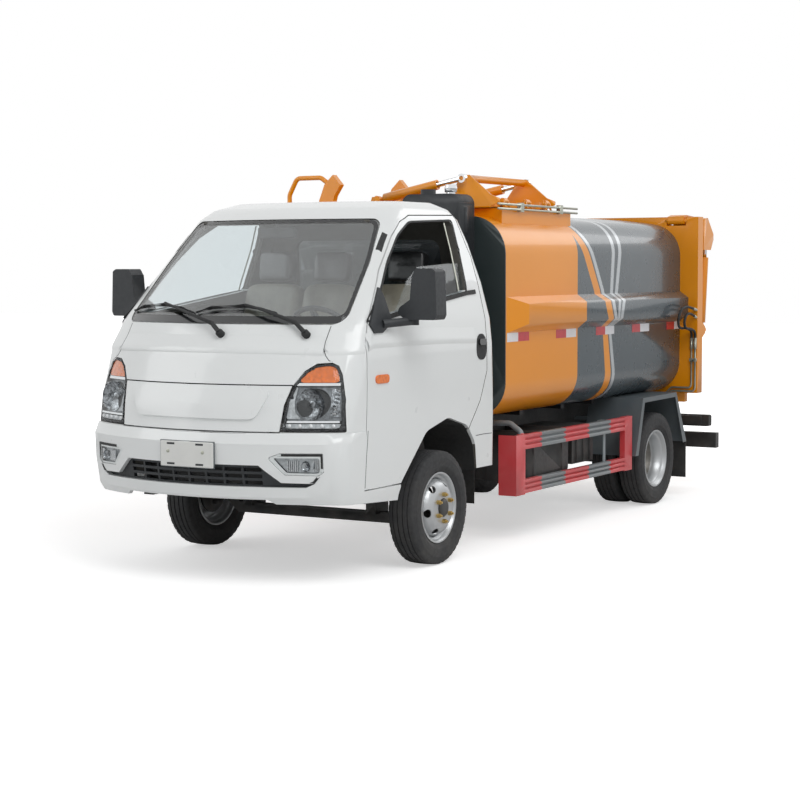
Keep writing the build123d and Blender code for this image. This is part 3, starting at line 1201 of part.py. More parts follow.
def all_nodes():
    """Every sub-part by its name, as a list of solids."""
    nodes = {}
    nodes.update(wheels())
    nodes["knuckle_left"] = [knuckle()]
    nodes["knuckle_right"] = [flip(knuckle())]
    nodes["front_axle"] = front_axle()
    nodes["rear_axle"] = rear_axle()
    nodes["leaf_springs"] = leaf_springs()
    nodes["chassis_frame"] = chassis_frame()
    nodes["subframe"] = subframe()
    nodes["engine_and_shaft"] = engine_block() + propeller_shaft()
    nodes["tank_and_battery"] = fuel_tank() + battery_box()
    nodes["exhaust_silencer"] = exhaust_silencer()
    nodes["side_guards"] = side_guards()
    nodes["rear_fenders"] = rear_fenders()
    nodes["underrun_bar"] = underrun_bar()
    nodes["rear_lamps"] = rear_lamps()
    nodes["tow_eyes"] = tow_eyes()

    cab = cab_parts()
    nodes["cab_shell"] = [joined([cab["shell"], cab["front_panel"]] + lid_brackets())]
    nodes["cab_floor"] = cab_floor(cab["inner"])
    nodes["cab_glass"] = [cab["screen"], cab["rear_glass"]]
    nodes["front_bumper"] = front_bumper()
    nodes["lower_grille"] = lower_grille()
    nodes["front_lamps"] = pair(cab["lamp"]) + fog_lamps()
    nodes["wheel_liners"] = liners()
    nodes["dashboard"] = dashboard(cab["inner"]) + steering_wheel()
    nodes["seats"] = seats()
    nodes["wipers"] = wipers()
    nodes["front_lid"] = [cab["lid"] + gooseneck_arms()]
    nodes["door_left"] = [cab["door"]]
    nodes["door_right"] = [flip(cab["door"])]
    nodes["door_glass_left"] = [cab["door_glass"]]
    nodes["door_glass_right"] = [flip(cab["door_glass"])]
    mirror_left = mirror_unit()
    nodes["mirror_left"] = [mirror_left]
    nodes["mirror_right"] = [flip(mirror_left)]

    left, right, roof, floor = body_panels()
    nodes["body_sides"] = [left, right]
    nodes["body_roof"] = roof
    nodes["body_floor"] = [floor]
    nodes["body_front_plate"] = front_plate()
    nodes["side_rails"] = side_rails()
    nodes["hopper_coaming"] = hopper_coaming() + lid_pins() + lid_bases()
    nodes["lifter_bay"] = lifter_bay()
    nodes["lifter_rails"] = lifter_rails()
    nodes["bin_carriage"] = bin_carriage()
    nodes["rear_frame"] = rear_frame()
    nodes["tailgate"] = tailgate()
    nodes["hopper_lid"] = hopper_lid()
    nodes["hydraulic_tank"] = hydraulic_tank()
    nodes["hydraulic_pipes"] = hydraulic_pipes()
    nodes["hose_upper"] = hose(UPPER_HOSE)
    nodes["hose_lower"] = hose(LOWER_HOSE)

    lid_barrels = []
    lid_rods = []
    for y in LID_CYLINDER_Y:
        barrel, shaft = cylinder("y", y, LID_CYLINDER_BASE, CRANK_EYE, LID_BARREL, LID_SIZES)
        lid_barrels.append(barrel)
        lid_rods.append(shaft)
    nodes["lid_barrels"] = lid_barrels
    nodes["lid_rods"] = lid_rods
    barrel, shaft = cylinder("x", TAIL_CYLINDER_X, TAIL_CYLINDER_BASE, TAIL_EYE, TAIL_BARREL, TAIL_SIZES)
    nodes["tail_barrels"] = pair(barrel)
    nodes["tail_rods"] = pair(shaft)
    return nodes


def solids_of(shapes):
    found = []
    for shape in shapes:
        found += shape.solids()
    return found


def main():
    os.makedirs("parts", exist_ok=True)
    for name, shapes in all_nodes().items():
        solids = [Pos(0, -Y_MID, 0) * solid for solid in solids_of(shapes)]
        export_step(Compound(children=solids), f"parts/{name}.step")


if __name__ == "__main__":
    main()
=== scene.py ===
import bmesh
import bpy
import json
import math
from mathutils import Matrix, Vector
from mathutils.bvhtree import BVHTree


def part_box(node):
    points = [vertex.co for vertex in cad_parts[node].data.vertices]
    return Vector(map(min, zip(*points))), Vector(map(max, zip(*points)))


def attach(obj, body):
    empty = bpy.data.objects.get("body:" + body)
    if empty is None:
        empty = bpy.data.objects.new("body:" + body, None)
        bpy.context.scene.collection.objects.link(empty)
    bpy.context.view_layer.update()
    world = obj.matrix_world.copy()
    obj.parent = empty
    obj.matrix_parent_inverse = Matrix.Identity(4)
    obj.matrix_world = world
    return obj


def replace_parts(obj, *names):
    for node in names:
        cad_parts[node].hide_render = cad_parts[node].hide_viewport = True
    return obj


# The looks of a small side-loading garbage truck, in metres. X runs to the truck's left, Y to its
# tail and Z up. Places are given from the front axle: at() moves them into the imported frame.

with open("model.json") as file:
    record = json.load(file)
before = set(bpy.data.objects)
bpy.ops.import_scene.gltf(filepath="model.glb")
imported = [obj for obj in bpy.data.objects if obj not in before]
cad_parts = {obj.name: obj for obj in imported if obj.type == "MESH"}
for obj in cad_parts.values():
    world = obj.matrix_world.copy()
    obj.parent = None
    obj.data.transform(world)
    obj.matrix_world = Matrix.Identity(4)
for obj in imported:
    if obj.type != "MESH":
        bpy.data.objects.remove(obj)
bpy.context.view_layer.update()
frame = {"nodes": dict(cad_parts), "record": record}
NODES = frame["nodes"]
BODY_OF = {node: body for body, members in frame["record"]["behaviour"]["bodies"].items() for node in members}
AXLE_Y = sum(corner.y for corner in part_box("tyre_front_left")) / 2
WHEELBASE = sum(corner.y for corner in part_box("tyres_rear_left")) / 2 - AXLE_Y
TYRE_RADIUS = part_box("tyre_front_left")[1].z / 2
SIDES = ((1, "left"), (-1, "right"))
X_AXIS = Vector((1, 0, 0))
Y_AXIS = Vector((0, 1, 0))
Z_AXIS = Vector((0, 0, 1))
WELD = 1e-5


def at(x, y, z):
    return Vector((x, AXLE_Y + y, z))


def placed(name, data):
    """A new object in the scene."""
    thing = bpy.data.objects.new(name, data)
    bpy.context.scene.collection.objects.link(thing)
    return thing


# Camera, solved from the photograph

CAMERA_PLACE = at(5.85315, -9.03985, 1.64447)
CAMERA_TURN = math.radians(30.31)
CAMERA_DOWN = math.radians(4.05)
CAMERA_ROLL = math.radians(-0.15)
CAMERA_LENS = 84.95


def camera():
    data = bpy.data.cameras.new("camera")
    data.lens = CAMERA_LENS
    data.sensor_width = 36.0
    data.clip_end = 100.0
    eye = placed("camera", data)
    flat = math.cos(CAMERA_DOWN)
    way = Vector((-math.sin(CAMERA_TURN) * flat, math.cos(CAMERA_TURN) * flat, -math.sin(CAMERA_DOWN)))
    turn = way.to_track_quat("-Z", "Y").to_matrix().to_4x4() @ Matrix.Rotation(CAMERA_ROLL, 4, "Z")
    eye.matrix_world = Matrix.Translation(CAMERA_PLACE) @ turn
    bpy.context.scene.camera = eye


# Colours and finishes

def screen(red, green, blue):
    """Linear colour from a 0 to 255 screen colour."""
    def line(value):
        value = value / 255
        return value / 12.92 if value <= 0.04045 else ((value + 0.055) / 1.055) ** 2.4
    return (line(red), line(green), line(blue), 1.0)


def shade(colour, share):
    return tuple(min(value * share, 1.0) for value in colour[:3]) + (1.0,)


class Tree:
    """The node tree of a material or of the world, with short calls."""

    def __init__(self, owner):
        owner.use_nodes = True
        self.owner = owner
        self.nodes = owner.node_tree.nodes
        self.links = owner.node_tree.links
        self.shader = self.nodes.get("Principled BSDF")

    def feed(self, socket, value):
        if isinstance(value, bpy.types.NodeSocket):
            self.links.new(value, socket)
        else:
            socket.default_value = value

    def put(self, node, *values, **named):
        """Sets or links a node's inputs, in their order or by name."""
        for socket, value in zip(node.inputs, values):
            self.feed(socket, value)
        for name, value in named.items():
            self.feed(node.inputs[name.replace("_", " ")], value)
        return node

    def add(self, kind, *values, **named):
        return self.put(self.nodes.new("ShaderNode" + kind), *values, **named)

    def math(self, operation, *values):
        node = self.add("Math", *values)
        node.operation = operation
        return node.outputs[0]

    def place(self):
        """The object's own coordinates."""
        node = self.nodes.get("Texture Coordinate") or self.nodes.new("ShaderNodeTexCoord")
        return node.outputs["Object"]

    def noise(self, scale, detail):
        return self.add("TexNoise", Vector=self.place(), Scale=scale, Detail=detail).outputs["Fac"]

    def ramp(self, value, low, high, from_low=0.0, from_high=1.0):
        node = self.add("MapRange", From_Min=from_low, From_Max=from_high, To_Min=low, To_Max=high)
        self.links.new(value, node.inputs["Value"])
        return node.outputs["Result"]

    def mix(self, share, first, second):
        node = self.nodes.new("ShaderNodeMix")
        node.data_type = "RGBA"
        for index, value in ((0, share), (6, first), (7, second)):
            self.feed(node.inputs[index], value)
        return node.outputs[2]


DUST = screen(146, 141, 133)


def finish(name, colour, rough, spread, patch, metal=0, coat=0, grain=0, bump=0, dust=0, dust_top=1,
           uneven=0.18):
    """A surface with uneven colour, gloss and grain, and dust that thins out with height."""
    tree = Tree(bpy.data.materials.new(name))
    colour = screen(*colour)
    cloud = tree.ramp(tree.noise(patch, 4.0), 0.0, 1.0, 0.3, 0.7)
    base = tree.mix(cloud, shade(colour, 1 - spread), shade(colour, 1 + spread))
    if dust:
        height = tree.add("SeparateXYZ", tree.place()).outputs["Z"]
        film = tree.ramp(height, dust, 0.0, 0.0, dust_top)
        specks = tree.ramp(tree.noise(9.0, 6.0), 0.2, 1.0, 0.35, 0.7)
        base = tree.mix(tree.math("MULTIPLY", film, specks), base, DUST)
    least = rough * (1 - uneven)
    most = min(rough * (1 + uneven), 1.0)
    gloss = tree.ramp(tree.noise(patch * 6, 5.0), least, most, 0.2, 0.8)
    tree.put(tree.shader, Base_Color=base, Metallic=metal, Coat_Weight=coat, Coat_Roughness=0.06,
             Roughness=gloss)
    if bump:
        relief = tree.add("Bump", Height=tree.noise(grain, 2.0), Strength=0.35, Distance=bump)
        tree.put(tree.shader, Normal=relief.outputs["Normal"])
    return tree.owner


def pane(name, tint, least):
    """Clear glass that keeps what is behind it where it is: see-through, and shining at a slant."""
    tree = Tree(bpy.data.materials.new(name))
    tree.nodes.remove(tree.shader)
    clear = tree.add("BsdfTransparent", Color=tint)
    shine = tree.add("BsdfGlossy", Roughness=0.03)
    slant = tree.math("POWER", tree.add("LayerWeight").outputs["Facing"], 5.0)
    share = tree.math("MULTIPLY_ADD", slant, 0.9, least)
    blend = tree.add("MixShader", share, clear.outputs[0], shine.outputs[0])
    tree.put(tree.nodes["Material Output"], Surface=blend.outputs[0])
    return tree.owner


# columns: screen colour, roughness, spread of the colour, scale of its patches, metal, coat, scale and height
# of the grain, dust at the ground, height where dust ends, spread of the roughness
FINISHES = {
    "cab_white": ((230, 233, 233), 0.28, 0.005, 1.2, 0, 0.6, 0, 0, 0.03, 0.7, 0.03),
    "inner_trim": ((84, 82, 77), 0.75, 0.06, 5.0, 0, 0, 900, 0.0003),
    "body_orange": ((238, 148, 0), 0.3, 0.03, 1.6, 0, 0.25, 120, 0.00005, 0.04, 1, 0.08),
    "body_slate": ((66, 78, 85), 0.28, 0.06, 1.6, 0, 0.35, 120, 0.00005, 0.05, 1, 0.1),
    "silver_band": ((186, 192, 196), 0.3, 0.03, 4.0, 0.25, 0.5),
    "front_plate_paint": ((42, 51, 52), 0.42, 0.08, 2.0, 0, 0, 200, 0.0002, 0.1),
    "guard_red": ((208, 62, 68), 0.42, 0.06, 5.0, 0, 0.2, 200, 0.0002, 0.2),
    "bracket_grey": ((128, 138, 143), 0.42, 0.06, 5.0, 0, 0.2, 200, 0.0002),
    "guard_grey": ((122, 128, 131), 0.45, 0.05, 5.0, 0, 0.2, 200, 0.0002, 0.2),
    "fender_grey": ((84, 93, 98), 0.42, 0.07, 3.0, 0, 0.2, 180, 0.0002, 0.25),
    "chassis_black": ((38, 40, 42), 0.5, 0.2, 6.0, 0, 0, 150, 0.0004, 0.3, 0.8),
    "tyre_rubber": ((44, 45, 47), 0.8, 0.1, 8.0, 0, 0, 700, 0.0004, 0.14, 0.7),
    "black_rubber": ((33, 34, 35), 0.7, 0.1, 8.0, 0, 0, 500, 0.0003, 0.12),
    "grained_black": ((44, 47, 50), 0.55, 0.06, 8.0, 0, 0, 1200, 0.0003),
    "gloss_black": ((24, 26, 28), 0.12, 0.05, 6.0, 0, 0.5),
    "rim_silver": ((186, 189, 191), 0.33, 0.05, 9.0, 0.55, 0, 300, 0.0002, 0.15, 0.6),
    # the rear rims' dish: a darker silver, painted shade in the deep dish; its dust is dirt
    "rim_dish": ((126, 124, 119), 0.45, 0.15, 9.0, 0.4, 0, 300, 0.0003, 0.3),
    "nut_plating": ((196, 168, 104), 0.35, 0.12, 40.0, 0.8),
    "zinc_pipe": ((176, 178, 166), 0.34, 0.1, 20.0, 0.8),
    "chrome": ((222, 224, 226), 0.07, 0.02, 9.0, 1.0),
    "amber_lens": ((238, 116, 22), 0.22, 0.22, 60.0, 0, 0.8, 160, 0.002),
    "lamp_white": ((240, 242, 244), 0.2, 0.03, 30.0, 0, 0.6),
    "tape_red": ((196, 34, 48), 0.35, 0.1, 40.0, 0, 0.4, 800, 0.0002),
    "tape_white": ((226, 226, 230), 0.35, 0.04, 40.0, 0, 0.4, 800, 0.0002),
    "seat_cloth": ((158, 152, 136), 0.5, 0.12, 14.0, 0, 0.5, 34, 0.012),
    "seat_head_cover": ((30, 31, 33), 0.35, 0.15, 14.0, 0, 0.6, 40, 0.01),
    "seam_dark": ((70, 72, 74), 0.7, 0.05, 9.0),
    "holder_white": ((222, 223, 220), 0.5, 0.03, 9.0),
    "lamp_red": ((170, 30, 26), 0.2, 0.08, 30.0, 0, 0.7, 220, 0.001),
    # the bowls' finish: its colour swings between dark and bright in small patches, painted reflection
    # streaks of a chrome reflector
    "lamp_bowl_painted_reflection": ((136, 140, 144), 0.12, 0.85, 62.0, 0.85, 0, 160, 0.004),
    "lamp_silver": ((176, 180, 183), 0.3, 0.3, 45.0, 0.6, 0, 300, 0.0006),
    "lamp_dark": ((122, 126, 130), 0.3, 0.4, 50.0, 0.6),
    "lamp_seal": ((52, 54, 56), 0.6, 0.05, 12.0),
    "screen_edge": ((22, 24, 26), 0.2, 0.05, 8.0, 0, 0.4),
    "mirror_glass": ((200, 206, 210), 0.03, 0.02, 8.0, 1.0),
}
# tint, and how much it shines where it is seen straight on
PANES = {
    "window_glass": ((0.93, 0.955, 0.96, 1.0), 0.13),
    "side_glass": ((0.90, 0.93, 0.94, 1.0), 0.035),
    "lamp_lens": ((0.97, 0.98, 0.98, 1.0), 0.03),
}
MATERIALS = {name: finish(name, *row) for name, row in FINISHES.items()}
MATERIALS.update({name: pane(name, *row) for name, row in PANES.items()})


# Pieces

def shown(name, data, node, slot, *materials):
    """Makes a mesh or a curve into a piece that rides with a node."""
    for material in materials:
        data.materials.append(MATERIALS[material])
    piece = placed(name, data)
    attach(piece, BODY_OF[node])
    return piece


def to_mesh(name, work, smooth=32.0):
    """Turns a bmesh into a mesh with smooth curves and sharp corners."""
    mesh = bpy.data.meshes.new(name)
    for face in work.faces:
        face.smooth = True
    work.to_mesh(mesh)
    work.free()
    mesh.set_sharp_from_angle(angle=math.radians(smooth))
    return mesh


def solid(name, work, node, slot, material, smooth=32.0):
    """Makes a closed bmesh into a piece."""
    bmesh.ops.recalc_face_normals(work, faces=work.faces)
    return shown(name, to_mesh(name, work, smooth), node, slot, material)


def welded(node):
    """The CAD node's triangles as one joined surface."""
    work = bmesh.new()
    work.from_mesh(NODES[node].data)
    bmesh.ops.remove_doubles(work, verts=work.verts, dist=WELD)
    return work


def split(work, place, normal, keep=None):
    """Cuts edges along a plane, only through the faces that keep names."""
    faces = [face for face in work.faces if keep is None or keep(face.calc_center_median())]
    edges = {edge for face in faces for edge in face.edges}
    verts = {vert for face in faces for vert in face.verts}
    bmesh.ops.bisect_plane(work, geom=list(verts) + list(edges) + faces, plane_co=place, plane_no=normal,
                           dist=1e-6)


def dress(node, slot, *materials, pick=None, cuts=(), smooth=32.0, edge=0.0, reshape=None, drop=None):
    """A smooth copy of a CAD node. pick chooses each face's material, drop the faces to leave out."""
    work = welded(node)
    if drop:
        gone = [face for face in work.faces if drop(face.calc_center_median())]
        bmesh.ops.delete(work, geom=gone, context="FACES")
    for cut in cuts:
        split(work, *cut)
    if reshape:
        for vert in work.verts:
            vert.co = reshape(vert.co)
    if edge:
        bmesh.ops.dissolve_limit(work, angle_limit=math.radians(0.6), verts=work.verts, edges=work.edges)
    if pick:
        work.normal_update()
        for face in work.faces:
            face.material_index = pick(face.calc_center_median(), face.normal)
    piece = shown("look_" + node, to_mesh("look_" + node, work, smooth), node, slot, *materials)
    if edge:
        round_edges(piece, edge)
    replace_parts(piece, node)


def round_edges(piece, width):
    """Small round edges that catch the light."""
    bevel = piece.modifiers.new("edge", "BEVEL")
    bevel.width = width
    bevel.segments = 2
    bevel.limit_method = "ANGLE"
    bevel.angle_limit = math.radians(40)
    bevel.harden_normals = True
    bevel.use_clamp_overlap = True


def paint(material, *nodes):
    for node in nodes:
        slots = NODES[node].data.materials
        slots.clear()
        slots.append(MATERIALS[material])


SURFACES = {}


def surface(node):
    """A node's surface to lay skins on, made once."""
    if node not in SURFACES:
        SURFACES[node] = BVHTree.FromBMesh(welded(node))
    return SURFACES[node]


# where a skin is seen from: the axis it is laid along, and the way out
VIEWS = {"front": ("y", -1), "back": ("y", 1), "left": ("x", 1), "right": ("x", -1)}
SPOTS = {"x": lambda a, b, depth: Vector((depth, a, b)), "y": lambda a, b, depth: Vector((a, depth, b))}
SKIN_START = 10.0
SKIN_REACH = 0.8


def draped(name, outline, node, view, slot, material, lift, step, thick=0.0, holes=(), tree=None):
    """A thin skin: an outline, as seen in a view, laid on a node's surface or on the one in tree."""
    axis, way = VIEWS[view]
    spot = SPOTS[axis]
    tree = tree or surface(node)
    work = bmesh.new()
    rings = []
    for ring in (outline,) + tuple(holes):
        verts = [work.verts.new(spot(a, b, 0.0)) for a, b in ring]
        rings += [work.edges.new((verts[i - 1], verts[i])) for i in range(len(verts))]
    bmesh.ops.triangle_fill(work, edges=rings, use_beauty=True)
    for index, normal in enumerate((spot(1, 0, 0), spot(0, 1, 0))):
        values = [point[index] for point in outline]
        span = max(values) - min(values)
        count = int(span / step)
        for turn in range(1, count + 1):
            split(work, normal * (min(values) + span * turn / (count + 1)), normal)
    far = spot(0, 0, 1.0)
    for vert in work.verts:
        place = tree.ray_cast(vert.co + far * (SKIN_START * way), far * -way)[0]
        if place is None:
            place = tree.find_nearest(vert.co + far * (SKIN_REACH * way))[0]
            place = vert.co - far * vert.co.dot(far) + far * place.dot(far)
        vert.co = place + far * (lift * way)
    bmesh.ops.recalc_face_normals(work, faces=work.faces)
    if sum(face.normal.dot(far * way) for face in work.faces) < 0:
        bmesh.ops.reverse_faces(work, faces=work.faces)
    if thick:
        bmesh.ops.solidify(work, geom=list(work.faces), thickness=thick)
    return shown(name, to_mesh(name, work, 50), node, slot, material)


CREASE_LOW = 0.022
CREASE_HIGH = 0.070
CREASE_PROUD = 0.009
CREASE_LIFT = 0.0005
CREASE_STEP = 0.011


def between(rows, place, column=1):
    """A table's value at a place in its first column: straight between rows and level beyond them."""
    rows = sorted(rows)
    for start, end in zip(rows, rows[1:]):
        if place <= end[0]:
            share = max(place - start[0], 0) / (end[0] - start[0])
            return start[column] + (end[column] - start[column]) * share
    return rows[-1][column]


def crease(name, line, node, view):
    """A soft overhanging fold in a panel: proud on the line, level with the panel below and above."""
    outline = [(a, b - CREASE_LOW) for a, b in line] + [(a, b + CREASE_HIGH) for a, b in reversed(line)]
    piece = draped(name, outline, node, view, "cab_paint", "cab_white", CREASE_LIFT, CREASE_STEP)
    axis, way = VIEWS[view]
    for vert in piece.data.vertices:
        height = vert.co.z - between(line, vert.co.y if axis == "x" else vert.co.x)
        share = min((height + CREASE_LOW) / CREASE_LOW, (CREASE_HIGH - height) / CREASE_HIGH)
        setattr(vert.co, axis, getattr(vert.co, axis) + way * CREASE_PROUD * max(share, 0.0))
    return piece


def blocks(name, boxes, node, slot, material):
    """Boxes as one piece, each between its low and its high corner."""
    work = bmesh.new()
    for low, high in boxes:
        spots = [(x, y, z) for x in (low[0], high[0]) for y in (low[1], high[1]) for z in (low[2], high[2])]
        verts = [work.verts.new(spot) for spot in spots]
        for quad in ((0, 1, 3, 2), (4, 6, 7, 5), (0, 4, 5, 1), (2, 3, 7, 6), (0, 2, 6, 4), (1, 5, 7, 3)):
            work.faces.new([verts[i] for i in quad])
    return solid(name, work, node, slot, material)


def ring_points(centre, along, radius, count):
    """Points of a circle about a line."""
    side = along.orthogonal().normalized()
    up = along.normalized().cross(side)
    turns = [2 * math.pi * step / count for step in range(count)]
    return [centre + side * (radius * math.cos(turn)) + up * (radius * math.sin(turn)) for turn in turns]


def bars(name, lines, node, slot, material, smooth=32.0):
    """Round bars as one piece: the number of sides of each, and its points with the radius there."""
    work = bmesh.new()
    for sides, line in lines:
        rings = []
        for index, (point, radius) in enumerate(line):
            along = line[min(index + 1, len(line) - 1)][0] - line[max(index - 1, 0)][0]
            rings.append([work.verts.new(spot) for spot in ring_points(point, along, radius, sides)])
        for first, second in zip(rings, rings[1:]):
            shift = min(range(sides), key=lambda k: (second[k].co - first[0].co).length)
            for step in range(sides):
                work.faces.new((first[step - 1], first[step], second[(step + shift) % sides],
                                second[(step - 1 + shift) % sides]))
        work.faces.new(list(reversed(rings[0])))
        work.faces.new(rings[-1])
    return solid(name, work, node, slot, material, smooth)


# Small shapes repeated on points

def repeat_tree(name, shape, sockets):
    """A tree that sets one small shape on each of its points, turned to face an axis."""
    tree = bpy.data.node_groups.new(name, "GeometryNodeTree")
    for label, kind in {"Points": "Geometry", **sockets, "Facing": "Vector", "Finish": "Material"}.items():
        tree.interface.new_socket(label, in_out="INPUT", socket_type="NodeSocket" + kind)
    tree.interface.new_socket("Geometry", in_out="OUTPUT", socket_type="NodeSocketGeometry")

    def add(kind, **sources):
        node = tree.nodes.new(kind)
        for label, source in sources.items():
            tree.links.new(source, node.inputs[label])
        return node

    given = add("NodeGroupInput").outputs
    maker = add(shape, **{label: given[label] for label in sockets})
    turn = add("FunctionNodeAlignRotationToVector", Vector=given["Facing"])
    turn.axis = "Z"
    many = add("GeometryNodeInstanceOnPoints", Points=given["Points"], Instance=maker.outputs["Mesh"],
               Rotation=turn.outputs["Rotation"])
    real = add("GeometryNodeRealizeInstances", Geometry=many.outputs["Instances"])
    finished = add("GeometryNodeSetMaterial", Geometry=real.outputs["Geometry"], Material=given["Finish"])
    add("NodeGroupOutput", Geometry=finished.outputs["Geometry"])
    return tree


NUTS = repeat_tree("nuts", "GeometryNodeMeshCylinder",
                   {"Vertices": "Int", "Radius": "Float", "Depth": "Float"})
FLUTES = repeat_tree("flutes", "GeometryNodeMeshCube", {"Size": "Vector"})


def repeated(name, tree, points, node, slot, **values):
    """The tree's shape on every point, as one plain mesh."""
    spots = bpy.data.meshes.new(name + "_points")
    spots.from_pydata([tuple(point) for point in points], [], [])
    holder = placed(name + "_points", spots)
    maker = holder.modifiers.new("repeat", "NODES")
    maker.node_group = tree
    for socket in tree.interface.items_tree:
        if socket.name in values:
            maker[socket.identifier] = values[socket.name]
    mesh = bpy.data.meshes.new_from_object(holder.evaluated_get(bpy.context.evaluated_depsgraph_get()))
    holder.modifiers.remove(maker)
    bpy.data.objects.remove(holder)
    return shown(name, mesh, node, slot)


# Outlines

def front_ring(points, side=1):
    """An outline seen from the front, from x and z in millimetres."""
    return [(side * x / 1000, z / 1000) for x, z in points]


def side_ring(points):
    """An outline seen from the side, from y and z in millimetres."""
    return [(AXLE_Y + y / 1000, z / 1000) for y, z in points]


def rounded(ring, cut, steps=5):
    """A ring with each corner cut back by a length and rounded."""
    smooth = []
    for index, spot in enumerate(ring):
        corner = Vector(spot)
        before = Vector(ring[index - 1]) - corner
        after = Vector(ring[(index + 1) % len(ring)]) - corner
        start = corner + before.normalized() * min(cut, 0.45 * before.length)
        end = corner + after.normalized() * min(cut, 0.45 * after.length)
        for step in range(steps + 1):
            share = step / steps
            point = start * (1 - share) ** 2 + corner * (2 * share * (1 - share)) + end * share ** 2
            smooth.append((point.x, point.y))
    return smooth


def inset(ring, width):
    """A ring moved inwards by a width, corner by corner."""
    area = sum(a[0] * b[1] - b[0] * a[1] for a, b in zip(ring, ring[1:] + ring[:1]))
    turn = 1 if area > 0 else -1
    moved = []
    for index, spot in enumerate(ring):
        corner = Vector(spot)
        before = (corner - Vector(ring[index - 1])).normalized()
        after = (Vector(ring[(index + 1) % len(ring)]) - corner).normalized()
        first = Vector((-before.y, before.x)) * turn
        second = Vector((-after.y, after.x)) * turn
        middle = (first + second).normalized()
        point = corner + middle * (width / max(middle.dot(first), 0.4))
        moved.append((point.x, point.y))
    return moved


def ribbon(points, width):
    """The outline of a narrow strip along points."""
    line = [Vector(point) for point in points]
    upper = []
    lower = []
    for index, point in enumerate(line):
        along = (line[min(index + 1, len(line) - 1)] - line[max(index - 1, 0)]).normalized()
        across = Vector((-along.y, along.x)) * (width / 2)
        upper.append(tuple(point + across))
        lower.append(tuple(point - across))
    return upper + lower[::-1]


def circle(centre, radius, count):
    turns = [2 * math.pi * step / count for step in range(count)]
    return [(centre[0] + radius * math.cos(turn), centre[1] + radius * math.sin(turn)) for turn in turns]


def round_bowl(work, mouth, inward, profile, count):
    """Adds an open dish about a line. profile: radius and depth from its mouth."""
    rings = []
    for radius, depth in profile:
        spots = ring_points(mouth + inward * depth, inward, radius, count)
        rings.append([work.verts.new(spot) for spot in spots])
    for first, second in zip(rings, rings[1:]):
        for step in range(count):
            work.faces.new((first[step - 1], first[step], second[step], second[step - 1]))


# Tyres and rims

TREAD_HALF = 0.074
TREAD_END = TREAD_HALF - 0.006
SIDE_HALF = 0.088
BEAD_HALF = 0.0635
BEAD_RADIUS = 0.198
SHOULDER_RADIUS = TYRE_RADIUS - 0.009
GROOVES = (-0.045, -0.016, 0.016, 0.045)
GROOVE_HALF = 0.0036
GROOVE_DEPTH = 0.0075
CROWN_DROP = 0.004
SPOKES = 168
NOTCH_START = 0.05
NOTCH_DEPTH = 0.55 * GROOVE_DEPTH
WALL_SHARES = (0.0, 0.12, 0.24, 0.27, 0.3, 0.42, 0.55, 0.66, 0.69, 0.72, 0.84, 0.93, 1.0)
WALL_RINGS = (0.27, 0.69)
RING_PROUD = 0.0012
TREAD_SUNK = 0.0005
NOTCH_FLOOR = 0.012


def tyre_profile():
    """(x, radius) pairs across the tyre, with grooves in its tread and rings on its walls."""
    wall = []
    for share in WALL_SHARES:
        radius = BEAD_RADIUS + (SHOULDER_RADIUS - BEAD_RADIUS) * share
        swell = math.sin(math.pi * min(share * 1.02, 1.0)) ** 0.8
        edge = BEAD_HALF + (TREAD_HALF - BEAD_HALF) * share
        proud = RING_PROUD if share in WALL_RINGS else 0.0
        wall.append((edge + (SIDE_HALF - 0.002 - edge) * swell + proud, radius))
    marks = [-TREAD_END]
    for groove in GROOVES:
        marks += [groove + GROOVE_HALF * share for share in (-1, -0.6, 0.6, 1)]
    marks.append(TREAD_END)
    tread = []
    for index, x in enumerate(marks):
        crown = TYRE_RADIUS - CROWN_DROP * (x / TREAD_HALF) ** 2 - TREAD_SUNK
        deep = index % 4 in (2, 3) and 0 < index < len(marks) - 1
        tread.append((x, crown - (GROOVE_DEPTH if deep else 0.0)))
    left = [(-x, radius) for x, radius in wall]
    return left + tread + list(reversed(wall))


def tyre_mesh(work, x, y):
    """Adds one tyre, with its middle at x and y from the front axle."""
    profile = tyre_profile()
    rings = []
    for step in range(SPOKES):
        turn = 2 * math.pi * step / SPOKES
        ring = []
        for across, radius in profile:
            notched = abs(across) > NOTCH_START and radius > TYRE_RADIUS - NOTCH_FLOOR and step % 4 == 0
            reach = radius - (NOTCH_DEPTH if notched else 0)
            spot = at(x + across, y + reach * math.cos(turn), TYRE_RADIUS + reach * math.sin(turn))
            ring.append(work.verts.new(spot))
        rings.append(ring)
    for step in range(SPOKES):
        first = rings[step - 1]
        second = rings[step]
        for index in range(len(profile)):
            work.faces.new((first[index - 1], second[index - 1], second[index], first[index]))


def tyres():
    front_x = sum(corner.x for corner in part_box("tyre_front_left")) / 2
    low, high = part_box("tyres_rear_left")
    twins = (low.x + SIDE_HALF, high.x - SIDE_HALF)
    for side, name in SIDES:
        for node, places, y in (("tyre_front_", (front_x,), 0.0), ("tyres_rear_", twins, WHEELBASE)):
            work = bmesh.new()
            for x in places:
                tyre_mesh(work, side * x, y)
            node = node + name
            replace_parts(solid("look_" + node, work, node, "tyre", "tyre_rubber", 40), node)


DISC_EDGE = 0.1585
HUB_RADIUS = 0.049
NUT_CIRCLE = 0.074
HUB_FACE = 0.093
VENT_CIRCLE = 0.137
VENT_HALF = (0.016, 0.024)
FIRST_VENT = 188
FIRST_NUT = 30
NUT_REACH = HUB_FACE + 0.010
DISC_RADIUS = 0.1625
DISC_STEP = 0.012
DISC_THICK = 0.006
HUB_GAP = 0.004
# radius and reach from the wheel's middle
FRONT_DISC = ((0.165, 0.004), (0.161, 0.030), (0.155, 0.050), (0.145, 0.068), (0.130, 0.081), (0.112, 0.090),
              (0.098, HUB_FACE), (0.030, HUB_FACE), (0.0005, HUB_FACE))
FRONT_HUB = ((HUB_RADIUS, 0.020), (HUB_RADIUS, 0.096), (0.043, 0.104), (0.030, 0.108))
